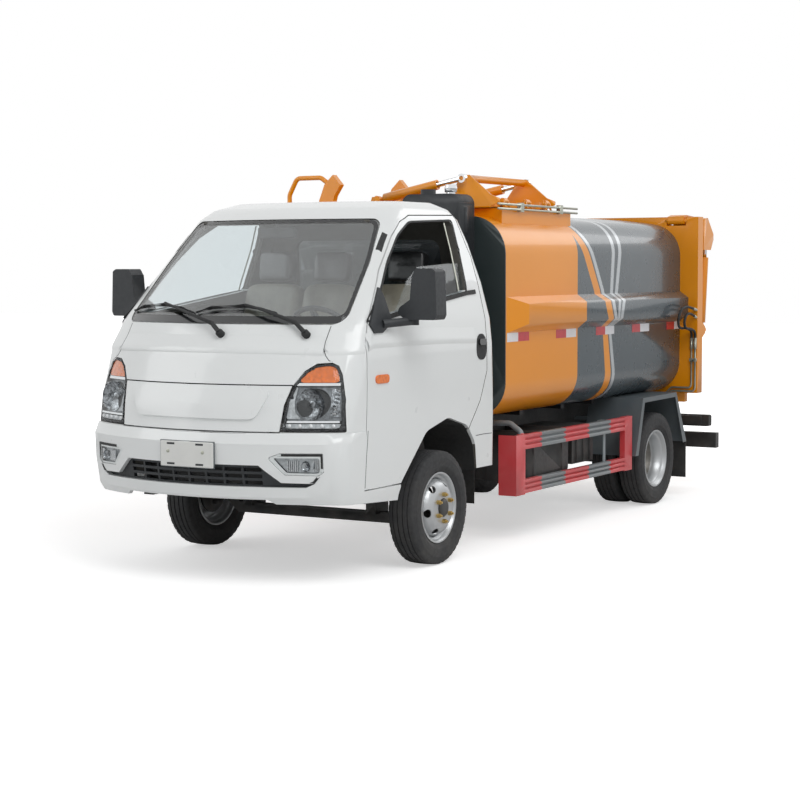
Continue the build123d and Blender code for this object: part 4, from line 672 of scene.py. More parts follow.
# columns: name, sides, radius, length, how far further out
NUT_PARTS = (("nuts", 6, 0.0125, 0.020, 0.0), ("studs", 12, 0.0065, 0.012, 0.014))
REAR_FACE = 0.6636
REAR_NUTS = (0.052, 0.079)
REAR_HUB = 0.05


def vent(centre, turn, count=20):
    """An oval hole of the disc, longer round the wheel than across it."""
    along = Vector((math.cos(turn), math.sin(turn)))
    across = Vector((-along.y, along.x))
    middle = Vector(centre) + along * VENT_CIRCLE
    turns = [2 * math.pi * step / count for step in range(count)]
    points = [middle + along * (VENT_HALF[0] * math.cos(turn)) + across * (VENT_HALF[1] * math.sin(turn))
              for turn in turns]
    return [(point.x, point.y) for point in points]


def front_disc(node, middle, side, name):
    """The front wheel's domed disc with six vents, its hub and its nuts."""
    out = X_AXIS * side
    dome = bmesh.new()
    round_bowl(dome, middle, out, FRONT_DISC, 96)
    centre = (middle.y, middle.z)
    holes = [circle(centre, HUB_RADIUS + HUB_GAP, 36)]
    holes += [vent(centre, math.radians(60 * step + FIRST_VENT)) for step in range(6)]
    disc = draped(node + "_disc", circle(centre, DISC_RADIUS, 72), node, name, "rim_steel", "rim_silver", 0.0,
                  DISC_STEP, DISC_THICK, holes, BVHTree.FromBMesh(dome))
    dome.free()
    line = [(middle + out * reach, radius) for radius, reach in FRONT_HUB]
    hub = bars(node + "_hub", [(32, line)], node, "chassis_black", "chassis_black", 40)
    turns = [math.radians(60 * step + FIRST_NUT) for step in range(6)]
    spots = [middle + out * NUT_REACH + Vector((0, math.cos(turn), math.sin(turn))) * NUT_CIRCLE
             for turn in turns]
    for label, count, radius, depth, lift in NUT_PARTS:
        places = [spot + out * lift for spot in spots]
        piece = repeated("%s_%s" % (node, label), NUTS, places, node, "rim_steel", Vertices=count,
                         Radius=radius, Depth=depth, Facing=tuple(out), Finish=MATERIALS["nut_plating"])
        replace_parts(piece, node)
    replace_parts(disc, node)
    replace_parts(hub, node)


def rims():
    """Silver rims: the front ones with a domed disc, the rear ones with a deep dish in a darker silver that
    is painted shade.
    """
    def disc_face(spot):
        return math.hypot(spot.y - AXLE_Y, spot.z - TYRE_RADIUS) < DISC_EDGE

    def rear_colour(spot, normal):
        """0 silver, 1 nuts, 2 hub, 3 the dish, in a darker silver that is painted shade."""
        reach = math.hypot(spot.y - AXLE_Y - WHEELBASE, spot.z - TYRE_RADIUS)
        if abs(spot.x) > REAR_FACE and REAR_NUTS[0] < reach < REAR_NUTS[1]:
            return 1
        if abs(spot.x) > REAR_FACE and reach < REAR_HUB:
            return 2
        return 3 if reach < DISC_EDGE else 0

    for side, name in SIDES:
        node = "rim_front_" + name
        low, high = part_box("tyre_front_" + name)
        dress(node, "rim_steel", "rim_silver", drop=disc_face)
        front_disc(node, (low + high) / 2, side, name)
        dress("rims_rear_" + name, "rim_steel", "rim_silver", "nut_plating", "chassis_black", "rim_dish",
              pick=rear_colour)


# Refuse body

# columns: height, front edge, rear edge, both as y from the front axle
ORANGE_BAND = ((1.902, 1.861, 1.950), (1.669, 2.029, 2.121), (1.487, 2.154, 2.248), (1.190, 2.299, 2.379),
               (0.840, 2.352, 2.449))
SILVER_ONE = ((1.902, 1.970, 2.018), (1.669, 2.141, 2.188), (1.487, 2.264, 2.312), (1.190, 2.395, 2.436),
              (0.840, 2.470, 2.516))
SILVER_TWO = ((1.902, 2.455, 2.504), (1.487, 2.410, 2.458), (1.250, 2.392, 2.420))
SILVER_THREE = ((1.902, 2.578, 2.627), (1.487, 2.492, 2.541), (1.250, 2.420, 2.462))
SLATE_START = 1.905
BAND_HEIGHTS = (1.902, 1.669, 1.487, 1.250, 1.190, 0.840)
BAND_LIMITS = (2.2,) + BAND_HEIGHTS + (0.6,)


def band_cuts():
    """Planes along every band's edges, one height at a time."""
    cuts = [(at(0, SLATE_START, 0), Y_AXIS)]
    cuts += [(at(0, 0, z), Z_AXIS) for z in BAND_HEIGHTS]
    for high, low in zip(BAND_LIMITS, BAND_LIMITS[1:]):
        for rows in (ORANGE_BAND, SILVER_ONE, SILVER_TWO, SILVER_THREE):
            if high <= rows[-1][0] and rows in (SILVER_TWO, SILVER_THREE):
                continue
            for column in (1, 2):
                top = at(0, between(rows, high - 1e-5, column), high)
                bottom = at(0, between(rows, low + 1e-5, column), low)
                normal = (top - bottom).cross(X_AXIS).normalized()
                cuts.append((top, normal, lambda spot, low=low, high=high: low < spot.z < high))
    return cuts


def body_colour(spot, normal):
    """0 orange, 1 slate, 2 silver."""
    y = spot.y - AXLE_Y
    z = spot.z
    if y < SLATE_START or between(ORANGE_BAND, z, 1) < y < between(ORANGE_BAND, z, 2):
        return 0
    for rows in (SILVER_ONE, SILVER_TWO, SILVER_THREE):
        if z >= rows[-1][0] - 0.001 or rows is SILVER_ONE:
            if between(rows, z, 1) < y < between(rows, z, 2):
                return 2
    return 1


def refuse_body():
    cuts = band_cuts()
    for node in ("body_sides", "body_roof", "side_rails", "body_floor"):
        dress(node, "body_paint", "body_orange", "body_slate", "silver_band", pick=body_colour,
              cuts=cuts[:1] if node == "body_floor" else cuts)


BODY_SIDE_X = 0.765
TAPE_LOW = 1.195
TAPE_HIGH = 1.250
TAPE_PROUD = 0.0012
TAPE_SUNK = 0.0002
BAY_END = 1.99
# columns: start, end, colour
TAPES = ((0.920, 1.065, "white"), (1.065, 1.212, "red"), (1.589, 1.734, "red"), (1.734, 1.882, "white"),
         (2.188, 2.331, "red"), (2.331, 2.476, "white"), (2.775, 2.912, "red"), (2.912, 3.069, "white"),
         (3.384, 3.523, "red"), (3.523, 3.628, "white"))


def tapes():
    """Red and white tape along both sides, but not on the lifter bay."""
    for side, name in SIDES:
        low_x, high_x = sorted((side * (BODY_SIDE_X - TAPE_SUNK), side * (BODY_SIDE_X + TAPE_PROUD)))
        for colour in ("red", "white"):
            boxes = [(at(low_x, start, TAPE_LOW), at(high_x, end, TAPE_HIGH)) for start, end, kind in TAPES
                     if kind == colour and (side > 0 or start >= BAY_END)]
            blocks("tape_%s_%s" % (colour, name), boxes, "body_sides", "body_paint", "tape_" + colour)


# Chassis

GUARD_MARKS = (0.897, 1.242, 1.579, 1.928, 2.266, 2.613)
GUARD_OUTSIDE = 0.79
GUARD_TOP = 0.645
GUARD_GAP = (0.372, 0.553)
FRONT_POST_END = 0.905
RAILS_START = 1.02
RAILS_END = GUARD_MARKS[-1] - 0.121
FLAP_START = 3.523
FLAP_TOP = 0.425
FLAP_HALF = 0.8605


def guard_colour(spot, normal):
    """0 red, 1 grey, 2 the brackets' darker grey."""
    y = spot.y - AXLE_Y
    if abs(spot.x) < GUARD_OUTSIDE or spot.z > GUARD_TOP:
        return 0 if y < FRONT_POST_END else 2
    if y > RAILS_END or y < RAILS_START:
        return 0
    if GUARD_GAP[0] < spot.z < GUARD_GAP[1]:
        return 2
    for index, (start, end) in enumerate(zip(GUARD_MARKS, GUARD_MARKS[1:])):
        if start < y < end:
            return index % 2
    return 0


def fender_colour(spot, normal):
    """0 grey, 1 the black flap."""
    return 1 if spot.y - AXLE_Y > FLAP_START and spot.z < FLAP_TOP and abs(spot.x) < FLAP_HALF else 0


def chassis():
    cuts = [(at(0, mark, 0), Y_AXIS) for mark in GUARD_MARKS[1:-1]]
    dress("side_guards", "guard_paint", "guard_red", "guard_grey", "bracket_grey", pick=guard_colour,
          cuts=cuts)
    dress("rear_fenders", "grey_paint", "fender_grey", "black_rubber", pick=fender_colour, edge=0.004)
    dress("rear_lamps", "lamp_lens", "black_rubber", "lamp_red",
          pick=lambda spot, normal: int(normal.y > 0.5))
    paint("chassis_black", "leaf_springs", "chassis_frame", "subframe", "underrun_bar", "tow_eyes",
          "cab_floor")


# Nodes in one finish. Columns: slot, material, nodes
PLAIN_NODES = (
    ("dark_paint", "front_plate_paint", ("body_front_plate",)),
    ("orange_paint", "body_orange",
     ("hopper_coaming", "lifter_bay", "lifter_rails", "bin_carriage", "rear_frame", "tailgate", "hopper_lid",
      "lid_barrels", "tail_barrels")),
    ("chrome_rod", "chrome", ("lid_rods", "tail_rods")),
    ("bright_steel", "zinc_pipe", ("hydraulic_pipes",)),
    ("chassis_black", "grained_black", ("hydraulic_tank",)),
    ("chassis_black", "chassis_black",
     ("knuckle_left", "knuckle_right", "front_axle", "rear_axle", "engine_and_shaft", "tank_and_battery",
      "exhaust_silencer")),
    ("window_glass", "window_glass", ("cab_glass",)),
    ("window_glass", "side_glass", ("door_glass_right",)),
    ("lamp_lens", "lamp_lens", ("front_lamps",)),
    ("black_plastic", "grained_black", ("lower_grille", "dashboard")),
    ("black_plastic", "black_rubber", ("wheel_liners",)),
)


def plain_nodes():
    for slot, material, nodes in PLAIN_NODES:
        for node in nodes:
            dress(node, slot, material)


# Headlamps and fog lamps, seen from the front as x and z in millimetres

LAMP = ((503, 806), (515, 942), (537, 1037), (581, 1110), (632, 1147), (700, 1152), (729, 1137), (751, 1093),
        (782, 967), (794, 806))
FOG = ((462, 676), (541, 590), (697, 586), (722, 604), (722, 700), (524, 700))
FOG_LENS = ((488, 676), (553, 600), (694, 597), (704, 608), (704, 676))
# a black strip along the top and outer side inside the fog lamp's rim: painted shade cast by the rim
FOG_PAINTED_SHADE = ((500, 698), (719, 698), (719, 596), (709, 602), (709, 685), (512, 685))
# a black ribbon from the grille's end, below the fog lamp's bezel and up its outer side: painted shade in the
# crease under the raised bezel
BEZEL_CREASE_SHADE = ((590, 530), (640, 536), (676, 552), (700, 584))
# columns: name, depth, material, cut of the corners, thickness, outline
LAMP_LAYERS = (
    ("headlamp_back", 0.040, "lamp_seal", 0.01, 0.002, LAMP),
    ("headlamp_amber", 0.006, "amber_lens", 0.03, 0.002,
     ((556, 1054), (590, 1103), (634, 1136), (696, 1140), (721, 1128), (737, 1090), (745, 1054))),
    ("headlamp_bar", 0.005, "chrome", 0.004, 0.006, ((536, 1052), (752, 1052), (756, 1038), (532, 1038))),
    ("headlamp_frame", 0.026, "lamp_dark", 0.01, 0.002, ((524, 1036), (758, 1036), (777, 860), (520, 860))),
    ("headlamp_cheek", 0.014, "lamp_silver", 0.008, 0.002,
     ((526, 1030), (556, 1030), (552, 960), (562, 900), (590, 872), (522, 872))),
    # the column has the bowls' finish, with reflection streaks painted into its colour
    ("headlamp_column", 0.01, "lamp_bowl_painted_reflection", 0.006, 0.004, ((716, 1020), (752, 1020), (768, 882), (724, 882))),
    ("headlamp_ledge", 0.004, "chrome", 0.004, 0.008, ((530, 862), (768, 862), (769, 852), (528, 852))),
    ("headlamp_skirt", 0.009, "lamp_silver", 0.004, 0.002, ((512, 846), (772, 846), (774, 824), (512, 824))),
    ("fog_back", 0.02, "lamp_silver", 0.01, 0.002, inset(list(FOG_LENS), -3)),
)
BOWL_PLACE = (0.634, 0.946)
BOWL_HOLE = 0.078
LAMP_STEP = 0.022
LAMP_CORNER = 0.05
SEAL_INSIDE = 0.0095
SEAL_OUTSIDE = 0.0035
# Round dishes. Columns: name, places, depth, sides, material, smoothing angle, radii and depths
DISHES = (
    # the headlamp and fog bowls have reflection streaks painted into their colour
    ("headlamp_bowl", [BOWL_PLACE], 0.004, 32, "lamp_bowl_painted_reflection", 40,
     ((0.082, 0.0), (0.078, 0.003), (0.068, 0.012), (0.052, 0.020), (0.034, 0.026), (0.019, 0.028),
      (0.019, 0.012), (0.012, 0.008), (0.0005, 0.006))),
    ("running_lights", [(0.541 + 0.05 * bead, 0.836) for bead in range(5)], 0.0085, 12, "lamp_white", 60,
     ((0.0115, 0.0), (0.010, -0.004), (0.006, -0.0065), (0.0005, -0.0075))),
    ("fog_bowl", [(0.640, 0.634)], 0.004, 24, "lamp_bowl_painted_reflection", 40,
     ((0.027, 0.0), (0.024, 0.006), (0.016, 0.012), (0.008, 0.013), (0.007, 0.004), (0.0005, 0.003))),
)
# Rows of small bright blocks. Columns: name, places, depth, size
FLUTE_ROWS = (
    ("headlamp_flutes", [(0.737 + 0.0006 * step, 0.899 + 0.019 * step) for step in range(7)], 0.008,
     (0.034, 0.004, 0.0085)),
    ("fog_flutes", [(0.556 + 0.009 * step, 0.636) for step in (0, 1, 2, 3, 4, 5)]
     + [(0.676 + 0.009 * step, 0.636) for step in (0, 1, 2)], 0.010, (0.004, 0.006, 0.056)),
)


def lamp_spots(places, side, depth):
    """Places on the lamps' faces, moved in by a depth."""
    tree = surface("front_lamps")
    hits = [tree.ray_cast(Vector((side * x, -SKIN_START, z)), Y_AXIS)[0] for x, z in places]
    return [hit + Y_AXIS * depth for hit in hits]


def headlamps():
    node = "front_lamps"
    for side, name in SIDES:
        edge = front_ring(LAMP, side)
        inner = (rounded(inset(edge, SEAL_INSIDE), LAMP_CORNER),)
        outer = rounded(inset(edge, -SEAL_OUTSIDE), LAMP_CORNER)
        draped("headlamp_seal_" + name, outer, node, "front", "lamp_lens", "lamp_seal", 0.0015, LAMP_STEP,
               0.004, inner)
        for label, depth, material, cut, thick, outline in LAMP_LAYERS:
            framed = label == "headlamp_frame"
            holes = (circle((side * BOWL_PLACE[0], BOWL_PLACE[1]), BOWL_HOLE, 32),) if framed else ()
            ring = rounded(front_ring(outline, side), cut)
            draped("%s_%s" % (label, name), ring, node, "front", "lamp_lens", material, -depth, LAMP_STEP,
                   thick, holes)
        for label, places, depth, sides, material, smooth, shape in DISHES:
            work = bmesh.new()
            for mouth in lamp_spots(places, side, depth):
                round_bowl(work, mouth, Y_AXIS, shape, sides)
            solid("%s_%s" % (label, name), work, node, "lamp_lens", material, smooth)
        for label, places, depth, size in FLUTE_ROWS:
            repeated("%s_%s" % (label, name), FLUTES, lamp_spots(places, side, depth), node, "lamp_lens",
                     Size=size, Facing=(0.0, 0.0, 1.0), Finish=MATERIALS["chrome"])
        opening = (rounded(front_ring(FOG_LENS, side), 0.012),)
        ring = rounded(inset(front_ring(FOG, side), 0.001), 0.01)
        draped("fog_rim_" + name, ring, node, "front", "cab_paint", "cab_white", -0.0005, 0.03, 0.003,
               opening)
        # black strip inside the fog lamp's rim, top and outer side: painted shade
        ring = rounded(front_ring(FOG_PAINTED_SHADE, side), 0.003)
        draped("fog_painted_shade_" + name, ring, node, "front", "black_plastic", "black_rubber", 0.0006, 0.03, 0.002)
        # black ribbon under the fog lamp's bezel: painted shade in the crease there
        draped("bezel_crease_shade_" + name, ribbon(front_ring(BEZEL_CREASE_SHADE, side), 0.012), "front_bumper", "front",
               "black_plastic", "black_rubber", 0.003, 0.015, 0.0035)


# Cab, with outlines in millimetres: x and z seen from the front, y and z seen from the side

CAB_CENTRE = at(0, -0.15, 1.25)
# how squarely a face looks at the middle of the cab to have the inside's colour
FACES_IN = 0.25
SCREEN = ((-701, 1351), (701, 1351), (658, 1668), (598, 1897), (-598, 1897), (-658, 1668))
SCREEN_CLEAR = ((-680, 1388), (680, 1388), (640, 1668), (582, 1883), (-582, 1883), (-640, 1668))
FENDER_SEAM = ((645, 1338), (644, 1300), (645, 1262), (652, 1222), (664, 1190), (682, 1166), (700, 1156))
FRONT_LEDGE = ((-654, 1212), (-400, 1219), (0, 1222), (400, 1219), (654, 1212))
EMBOSS = ((-418, 1024), (418, 1024), (430, 985), (376, 868), (-376, 868), (-430, 985))
# a thin black strip under the lid's bottom edge: painted shade in the gap between lid and bumper
LID_GAP_SHADE = ((-174, 803), (337, 803), (337, 797), (-174, 797))
MIRROR_PANE = ((902, 1385), (1046, 1385), (1048, 1610), (950, 1612))
CORNER_LEDGE = ((-906, 1213), (-830, 1216), (-757, 1222))
DOOR_LEDGE = ((-749, 1228), (-700, 1243), (-300, 1244), (100, 1240), (415, 1230))
DOOR_PANE = ((-712, 1366), (-560, 1484), (-386, 1668), (-217, 1806), (-60, 1882), (428, 1900), (428, 1740),
             (398, 1502))
LOW_PANE = ((-700, 1360), (-404, 1409), (-217, 1566), (-60, 1642), (300, 1660), (418, 1660), (396, 1495))
# Trim on both sides. Columns: piece, node, how its outline is made and with what size, lift, step, slot,
# material, thickness, points
SIDE_TRIM = (
    ("pillar_vent", "cab_shell", ribbon, 0.02, 0.0015, 0.02, "black_plastic", "black_rubber", 0.003,
     ((-300, 1822), (-350, 1775), (-397, 1728))),
    ("corner_seam", "cab_shell", ribbon, 0.004, 0.0006, 0.03, "cab_paint", "seam_dark", 0.001,
     ((445, 680), (540, 682), (640, 680))),
    ("bumper_seam", "front_bumper", ribbon, 0.004, 0.0006, 0.03, "cab_paint", "seam_dark", 0.001,
     ((-890, 802), (-830, 803), (-766, 803))),
    ("side_marker", "door_{}", rounded, 0.03, 0.006, 0.02, "lamp_lens", "amber_lens", 0.007,
     ((-683, 1037), (-548, 1037), (-548, 1083), (-683, 1083))),
    ("belt_strip", "door_{}", ribbon, 0.024, 0.007, 0.04, "black_plastic", "black_rubber", 0.007,
     ((-600, 1371), (-400, 1396), (151, 1466), (398, 1494), (500, 1500))),
    ("door_front_seam", "door_{}", ribbon, 0.004, 0.0006, 0.03, "cab_paint", "seam_dark", 0.001,
     ((-748, 798), (-749, 740), (-754, 660), (-757, 500))),
    ("window_bar", "door_glass_{}", ribbon, 0.011, 0.002, 0.04, "bright_steel", "zinc_pipe", 0.003,
     ((366, 1890), (366, 1742), (338, 1504))),
    ("handle_plate", "door_{}", rounded, 0.03, 0.003, 0.02, "black_plastic", "black_rubber", 0.003,
     ((432, 1186), (436, 1140), (466, 1112), (520, 1112), (548, 1140), (551, 1186), (546, 1234), (516, 1260),
      (470, 1260), (440, 1234))),
    ("handle_pull", "door_{}", rounded, 0.012, 0.014, 0.02, "black_plastic", "gloss_black", 0.012,
     ((452, 1214), (458, 1196), (530, 1196), (536, 1214), (530, 1232), (458, 1232))),
)


def cab_trim():
    clear = (rounded(front_ring(SCREEN_CLEAR), 0.04),)
    draped("screen_edge", rounded(front_ring(SCREEN), 0.055), "cab_glass", "front", "window_glass",
           "screen_edge", 0.0006, 0.06, 0.0008, clear)
    panel = draped("lid_panel", rounded(front_ring(EMBOSS), 0.04), "front_lid", "front", "cab_paint",
                   "cab_white", 0.013, 0.05, 0.014)
    round_edges(panel, 0.011)
    # black strip on the bumper's top: painted shade in the gap under the lid
    draped("lid_gap_shade", rounded(front_ring(LID_GAP_SHADE), 0.003), "front_bumper", "front", "black_plastic",
           "black_rubber", 0.0008, 0.05, 0.001)
    folds = [crease("front_crease", front_ring(FRONT_LEDGE), "cab_shell", "front")]
    for side, name in SIDES:
        folds.append(crease("corner_crease_" + name, side_ring(CORNER_LEDGE), "cab_shell", name))
    folded = welded("cab_shell")
    for piece in folds:
        folded.from_mesh(piece.data)
    folded_surface = BVHTree.FromBMesh(folded)
    folded.free()
    for side, name in SIDES:
        draped("wing_seam_" + name, ribbon(front_ring(FENDER_SEAM, side), 0.0035), "cab_shell", "front",
               "cab_paint", "seam_dark", 0.0006, 0.012, 0.001, (), folded_surface)
        crease("door_crease_" + name, side_ring(DOOR_LEDGE), "door_" + name, name)
        window = side_ring(DOOR_PANE)
        opening = (rounded(inset(window, -0.0005), 0.028),)
        draped("window_rubber_" + name, rounded(inset(window, -0.011), 0.034), "door_" + name, name,
               "black_plastic", "black_rubber", 0.0022, 0.04, 0.004, opening)
        for piece, node, form, size, lift, step, slot, material, thick, points in SIDE_TRIM:
            draped("%s_%s" % (piece, name), form(side_ring(points), size), node.format(name), name, slot,
                   material, lift, step, thick)
        draped("mirror_glass_" + name, rounded(front_ring(MIRROR_PANE, side), 0.018), "mirror_" + name,
               "back", "window_glass", "mirror_glass", 0.0008, 0.06, 0.002)


HOLDER_FRONT = -1.2405
# Small boxes. Columns: piece, node, slot, material, round edge, low and high corners from the front axle
BOXES = (
    ("plate_holder", "front_bumper", "cab_paint", "holder_white", 0.006,
     [((-0.150, HOLDER_FRONT, 0.616), (0.184, HOLDER_FRONT + 0.016, 0.748))]),
    # a grey plate a little larger than the carrier, behind it: its rim is painted shade in the gap around the
    # carrier
    ("plate_back_painted_shade", "front_bumper", "black_plastic", "fender_grey", 0.0,
     [((-0.154, HOLDER_FRONT + 0.008, 0.612), (0.188, HOLDER_FRONT + 0.014, 0.752))]),
    ("plate_slots", "front_bumper", "black_plastic", "grained_black", 0.0,
     [((x - 0.024, HOLDER_FRONT - 0.0006, z), (x + 0.024, HOLDER_FRONT + 0.002, z + 0.010))
      for x in (-0.082, 0.100) for z in (0.626, 0.730)]),
    ("inner_mirror", "cab_shell", "black_plastic", "grained_black", 0.01,
     [((-0.125, -0.375, 1.800), (0.125, -0.350, 1.862))]),
    ("sun_visor_left", "cab_shell", "black_plastic", "inner_trim", 0.007,
     [((0.17, -0.30, 1.880), (0.55, -0.13, 1.896))]),
    ("sun_visor_right", "cab_shell", "black_plastic", "inner_trim", 0.007,
     [((-0.55, -0.30, 1.880), (-0.17, -0.13, 1.896))]),
)
# height or reach to the back, and radius
BREATHER_SHAPE = ((2.066, 0.028), (2.079, 0.028), (2.080, 0.037), (2.084, 0.039), (2.108, 0.039),
                  (2.111, 0.036), (2.122, 0.036), (2.126, 0.031))
SCREW_SHAPE = ((0.002, 0.0095), (-0.0015, 0.0095), (-0.0035, 0.005))
# Small round parts. Columns: piece, node, slot, material, sides, and for each its places from the front axle
# with the radius there
ROUNDS = (
    ("tank_breather", "hydraulic_tank", "bright_steel", "chrome", 28,
     [[(0.455, 0.800, z, radius) for z, radius in BREATHER_SHAPE]]),
    ("plate_screws", "front_bumper", "bright_steel", "zinc_pipe", 16,
     [[(x, HOLDER_FRONT + back, 0.695, radius) for back, radius in SCREW_SHAPE] for x in (-0.1, 0.12)]),
    ("inner_mirror_stalk", "cab_shell", "black_plastic", "grained_black", 12,
     [[(0, -0.362, 1.85, 0.008), (0, -0.370, 1.885, 0.008), (0, -0.352, 1.905, 0.012)]]),
)


def small_parts():
    """The blank plate's carrier, the oil tank's plated cap, the inner mirror and the sun visors."""
    for name, node, slot, material, edge, boxes in BOXES:
        piece = blocks(name, [(at(*low), at(*high)) for low, high in boxes], node, slot, material)
        if edge:
            round_edges(piece, edge)
    for name, node, slot, material, sides, lines in ROUNDS:
        lines = [(sides, [(at(x, y, z), radius) for x, y, z, radius in line]) for line in lines]
        bars(name, lines, node, slot, material)


def cab_side(spot, normal):
    """0 outside, 1 the trim inside."""
    inward = CAB_CENTRE - spot
    return 1 if normal.dot(inward.normalized()) > FACES_IN else 0


MIRROR_STEPS = (1.43, 1.47)
# x and z of its low end, then of its high end
MIRROR_SLANT = (0.833, 1.400, 0.925, 1.600)
MIRROR_INNER = 0.902
MIRROR_LEAN = 0.1
MIRROR_NEAR = 0.004


def mirror_step(spot):
    """Gives the mirror head its upright inner side, with a step out to the arm below it."""
    low_x, low_z, high_x, high_z = MIRROR_SLANT
    reach = low_x + (high_x - low_x) * (spot.z - low_z) / (high_z - low_z)
    if MIRROR_STEPS[1] - 1e-4 < spot.z < high_z and abs(abs(spot.x) - reach) < MIRROR_NEAR:
        inner = MIRROR_INNER + MIRROR_LEAN * (spot.z - low_z)
        return Vector((math.copysign(inner, spot.x), spot.y, spot.z))
    return spot


# Wipers: arm points from the pivot on, then blade points, as x and z in millimetres
WIPERS = ((((86, 1291), (30, 1331), (-150, 1376), (-409, 1436)),
           ((-690, 1399), (-589, 1420), (-404, 1430), (-251, 1414), (-149, 1394))),
          (((548, 1291), (490, 1338), (292, 1398), (155, 1432)),
           ((-141, 1398), (-46, 1420), (158, 1428), (263, 1414), (348, 1398))))
OFF_SCREEN = Vector((0, -0.84, 0.54))
# how far off the screen, and radius, at each point
WIPER_CAP = ((0.001, 0.021), (0.028, 0.021), (0.036, 0.013))
WIPER_ARM = ((0.030, 0.0125), (0.036, 0.012), (0.040, 0.0085), (0.030, 0.006))
BLADE_BACK = ((0.013, 0.005), (0.017, 0.0062), (0.017, 0.0065), (0.017, 0.0062), (0.013, 0.005))
BLADE_LIP = ((0.006, 0.0028),) * 5
BLADE_CLAWS = ((0.014, 0.003), (0.027, 0.0042), (0.032, 0.005), (0.027, 0.0042), (0.014, 0.003))


def wipers():
    """Two arms with a cap at the pivot, each with a curved blade held by small claws."""
    trees = (surface("cab_glass"), surface("cab_shell"))

    def spot(point, out):
        start = Vector((point[0] / 1000, -SKIN_START, point[1] / 1000))
        hits = [tree.ray_cast(start, Y_AXIS)[0] for tree in trees]
        return min((hit for hit in hits if hit is not None), key=lambda hit: hit.y) + OFF_SCREEN * out

    lines = []
    for arm, blade in WIPERS:
        rods = ((arm[:1] * 3, WIPER_CAP, 20), (arm, WIPER_ARM, 12), (blade, BLADE_BACK, 8),
                (blade, BLADE_LIP, 6), (blade, BLADE_CLAWS, 8))
        for points, shape, sides in rods:
            lines.append((sides, [(spot(point, out), radius) for point, (out, radius) in zip(points, shape)]))
    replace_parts(bars("look_wipers", lines, "wipers", "black_plastic", "black_rubber", 45), "wipers")


# share of its crown at which a pad keeps its given size
PAD_LEVEL = 0.75


def pad(name, low, high, rise, material):
    """A cushion between a low and a high outline of four corners each, crowned and soft at its corners."""
    def corner(u, v, w):
        first = low[0].lerp(low[1], u).lerp(low[3].lerp(low[2], u), v)
        second = high[0].lerp(high[1], u).lerp(high[3].lerp(high[2], u), v)
        return first.lerp(second, w)

    work = bmesh.new()
    bmesh.ops.create_cube(work, size=1.0)
    bmesh.ops.subdivide_edges(work, edges=work.edges, cuts=7, use_grid_fill=True)
    centre = corner(0.5, 0.5, 0.5)
    for vert in work.verts:
        share = [value + 0.5 for value in vert.co]
        place = corner(*share)
        swell = 1.0
        for value in share:
            swell *= 1.0 - (2.0 * value - 1.0) ** 2 if 0.001 < value < 0.999 else 1.0
        vert.co = place + (place - centre).normalized() * (rise * (swell - PAD_LEVEL))
    for turn in range(3):
        bmesh.ops.smooth_vert(work, verts=work.verts, factor=0.5, use_axis_x=True, use_axis_y=True,
                              use_axis_z=True)
    piece = solid(name, work, "seats", "seat_cloth", material, 180)
    soft = piece.modifiers.new("soft", "SUBSURF")
    soft.levels = 2
    soft.render_levels = 2
    return piece


# columns: x of the middle, half width, in millimetres
SEAT_PLACES = ((400, 240), (-110, 175), (-500, 200))
HEAD_HALF = 116
SEAT_GAP = 3
# columns: part, crown, material, fill, outline from the side as y and z, front bottom first and then round
SEAT_PARTS = (("cushion", 0.012, "seat_cloth", 0.8, ((-208, 855), (298, 855), (298, 1006), (-208, 1008))),
              ("back", 0.012, "seat_cloth", 0.8, ((184, 1016), (306, 1016), (416, 1534), (324, 1548))),
              ("head", 0.008, "seat_head_cover", 0.9, ((334, 1560), (414, 1548), (441, 1724), (354, 1734))))


def seats():
    for index, (middle, half) in enumerate(SEAT_PLACES):
        for part, rise, material, fill, outline in SEAT_PARTS:
            reach = HEAD_HALF if part == "head" else half - SEAT_GAP
            low, high = [[at((middle + way * reach) / 1000, y / 1000, z / 1000) for y, z in outline]
                         for way in (-1, 1)]
            piece = pad("seat_%s_%d" % (part, index + 1), low, high, rise, material)
            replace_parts(piece, "seats")


def cab():
    for node in ("cab_shell", "door_left", "door_right"):
        dress(node, "cab_paint", "cab_white", "inner_trim", pick=cab_side, smooth=24.0)
    for node in ("front_bumper", "front_lid"):
        dress(node, "cab_paint", "cab_white", smooth=24.0)
    half_open = draped("look_door_glass_left", side_ring(LOW_PANE), "door_glass_left", "left", "window_glass",
                       "side_glass", 0.0, 0.06, 0.004)
    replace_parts(half_open, "door_glass_left")
    cuts = [(Z_AXIS * z, Z_AXIS) for z in MIRROR_STEPS]
    for node in ("mirror_left", "mirror_right"):
        dress(node, "black_plastic", "grained_black", edge=0.009, cuts=cuts, reshape=mirror_step)
    seats()
    wipers()


# Free hoses beside the rear frame: their routes in millimetres, from the upper fitting to the lower one

UPPER_HOSE = ((890, 3572, 1340), (889, 3512, 1351), (887, 3444, 1356), (884, 3380, 1346), (881, 3332, 1308),
              (877, 3322, 1256), (872, 3350, 1216), (868, 3408, 1204), (866, 3484, 1206), (863, 3560, 1196),
              (861, 3618.7, 1176), (861, 3618.7, 1132))
LOWER_HOSE = ((890, 3590, 1288), (890, 3546, 1301), (890, 3492, 1309), (890, 3446, 1300), (890, 3412, 1270),
              (889, 3406, 1236), (889, 3430, 1208), (889, 3472, 1200), (888, 3545, 1196), (888, 3618.7, 1176),
              (888, 3618.7, 1132))
HOSE_RADIUS = 0.009


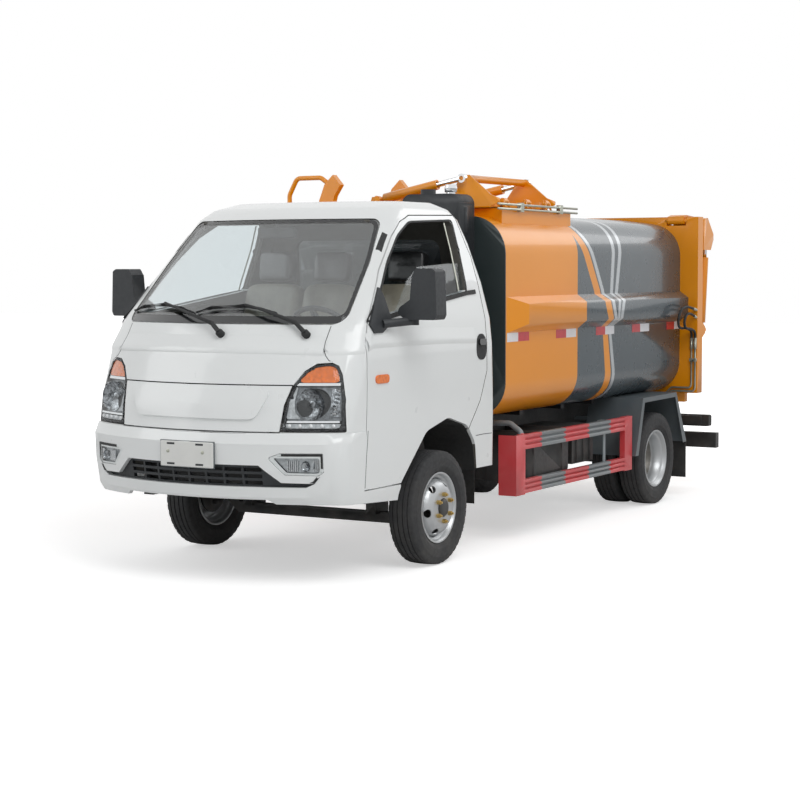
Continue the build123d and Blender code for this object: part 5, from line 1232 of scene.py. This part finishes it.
def hose(node, route):
    points = [at(x / 1000, y / 1000, z / 1000) for x, y, z in route]
    curve = bpy.data.curves.new("look_" + node, "CURVE")
    curve.dimensions = "3D"
    curve.bevel_depth = HOSE_RADIUS
    curve.bevel_resolution = 5
    curve.resolution_u = 10
    curve.use_fill_caps = True
    spline = curve.splines.new("NURBS")
    spline.points.add(len(points) - 1)
    for knot, point in zip(spline.points, points):
        knot.co = (*point, 1.0)
    spline.order_u = 3
    spline.use_endpoint_u = True
    piece = shown("look_" + node, curve, node, "hose_rubber", "black_rubber")
    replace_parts(piece, node)


# Stage

FLOOR_HALF = 40.0
# columns: name, place, power
LAMPS = (("key", (5.5, -5.0, 7.0), 300.0), ("fill", (-6.0, -6.5, 4.5), 110.0),
         ("rear", (3.5, 6.5, 6.0), 120.0))
LAMP_WIDTH = 5.0
# the world's strength as light. Where it is seen it has 1.
WORLD_LIGHT = 0.4
# glow of the floor near and far, and the distances between which it grows
FLOOR_FADE = (0.5, 1.0, 3.5, 7.0)


def stage():
    """A white world, a pale floor that turns white far out, and three soft lamps."""
    world = bpy.data.worlds.new("world")
    bpy.context.scene.world = world
    tree = Tree(world)
    path = tree.add("LightPath").outputs
    seen = tree.math("MAXIMUM", path["Is Camera Ray"], path["Is Glossy Ray"])
    seen = tree.math("MAXIMUM", seen, path["Is Transmission Ray"])
    tree.put(tree.nodes["Background"], Color=(1.0, 1.0, 1.0, 1.0), Strength=tree.ramp(seen, WORLD_LIGHT, 1.0))

    corners = [(x * FLOOR_HALF, y * FLOOR_HALF, 0.0) for x, y in ((-1, -1), (1, -1), (1, 1), (-1, 1))]
    mesh = bpy.data.meshes.new("floor")
    mesh.from_pydata(corners, [], [(0, 1, 2, 3)])
    tree = Tree(bpy.data.materials.new("floor_pale"))
    pale = tree.mix(tree.noise(0.8, 3.0), (0.86, 0.86, 0.86, 1), (0.9, 0.9, 0.9, 1))
    reach = tree.add("VectorMath", tree.place())
    reach.operation = "LENGTH"
    glow = tree.ramp(reach.outputs["Value"], *FLOOR_FADE)
    seen = tree.math("MULTIPLY", tree.add("LightPath").outputs["Is Camera Ray"], glow)
    tree.put(tree.shader, Base_Color=pale, Roughness=0.9, Emission_Color=(1, 1, 1, 1), Emission_Strength=seen)
    mesh.materials.append(tree.owner)
    placed("floor", mesh)

    for name, place, power in LAMPS:
        data = bpy.data.lights.new(name, "AREA")
        data.energy = power
        data.size = LAMP_WIDTH
        spot = Vector(place)
        aim = (Z_AXIS - spot).to_track_quat("-Z", "Y").to_matrix().to_4x4()
        placed(name, data).matrix_world = Matrix.Translation(spot) @ aim
    bpy.context.scene.view_settings.view_transform = "Standard"


camera()
hose("hose_upper", UPPER_HOSE)
hose("hose_lower", LOWER_HOSE)
stage()
tyres()
rims()
refuse_body()
tapes()
chassis()
plain_nodes()
cab()
headlamps()
cab_trim()
small_parts()
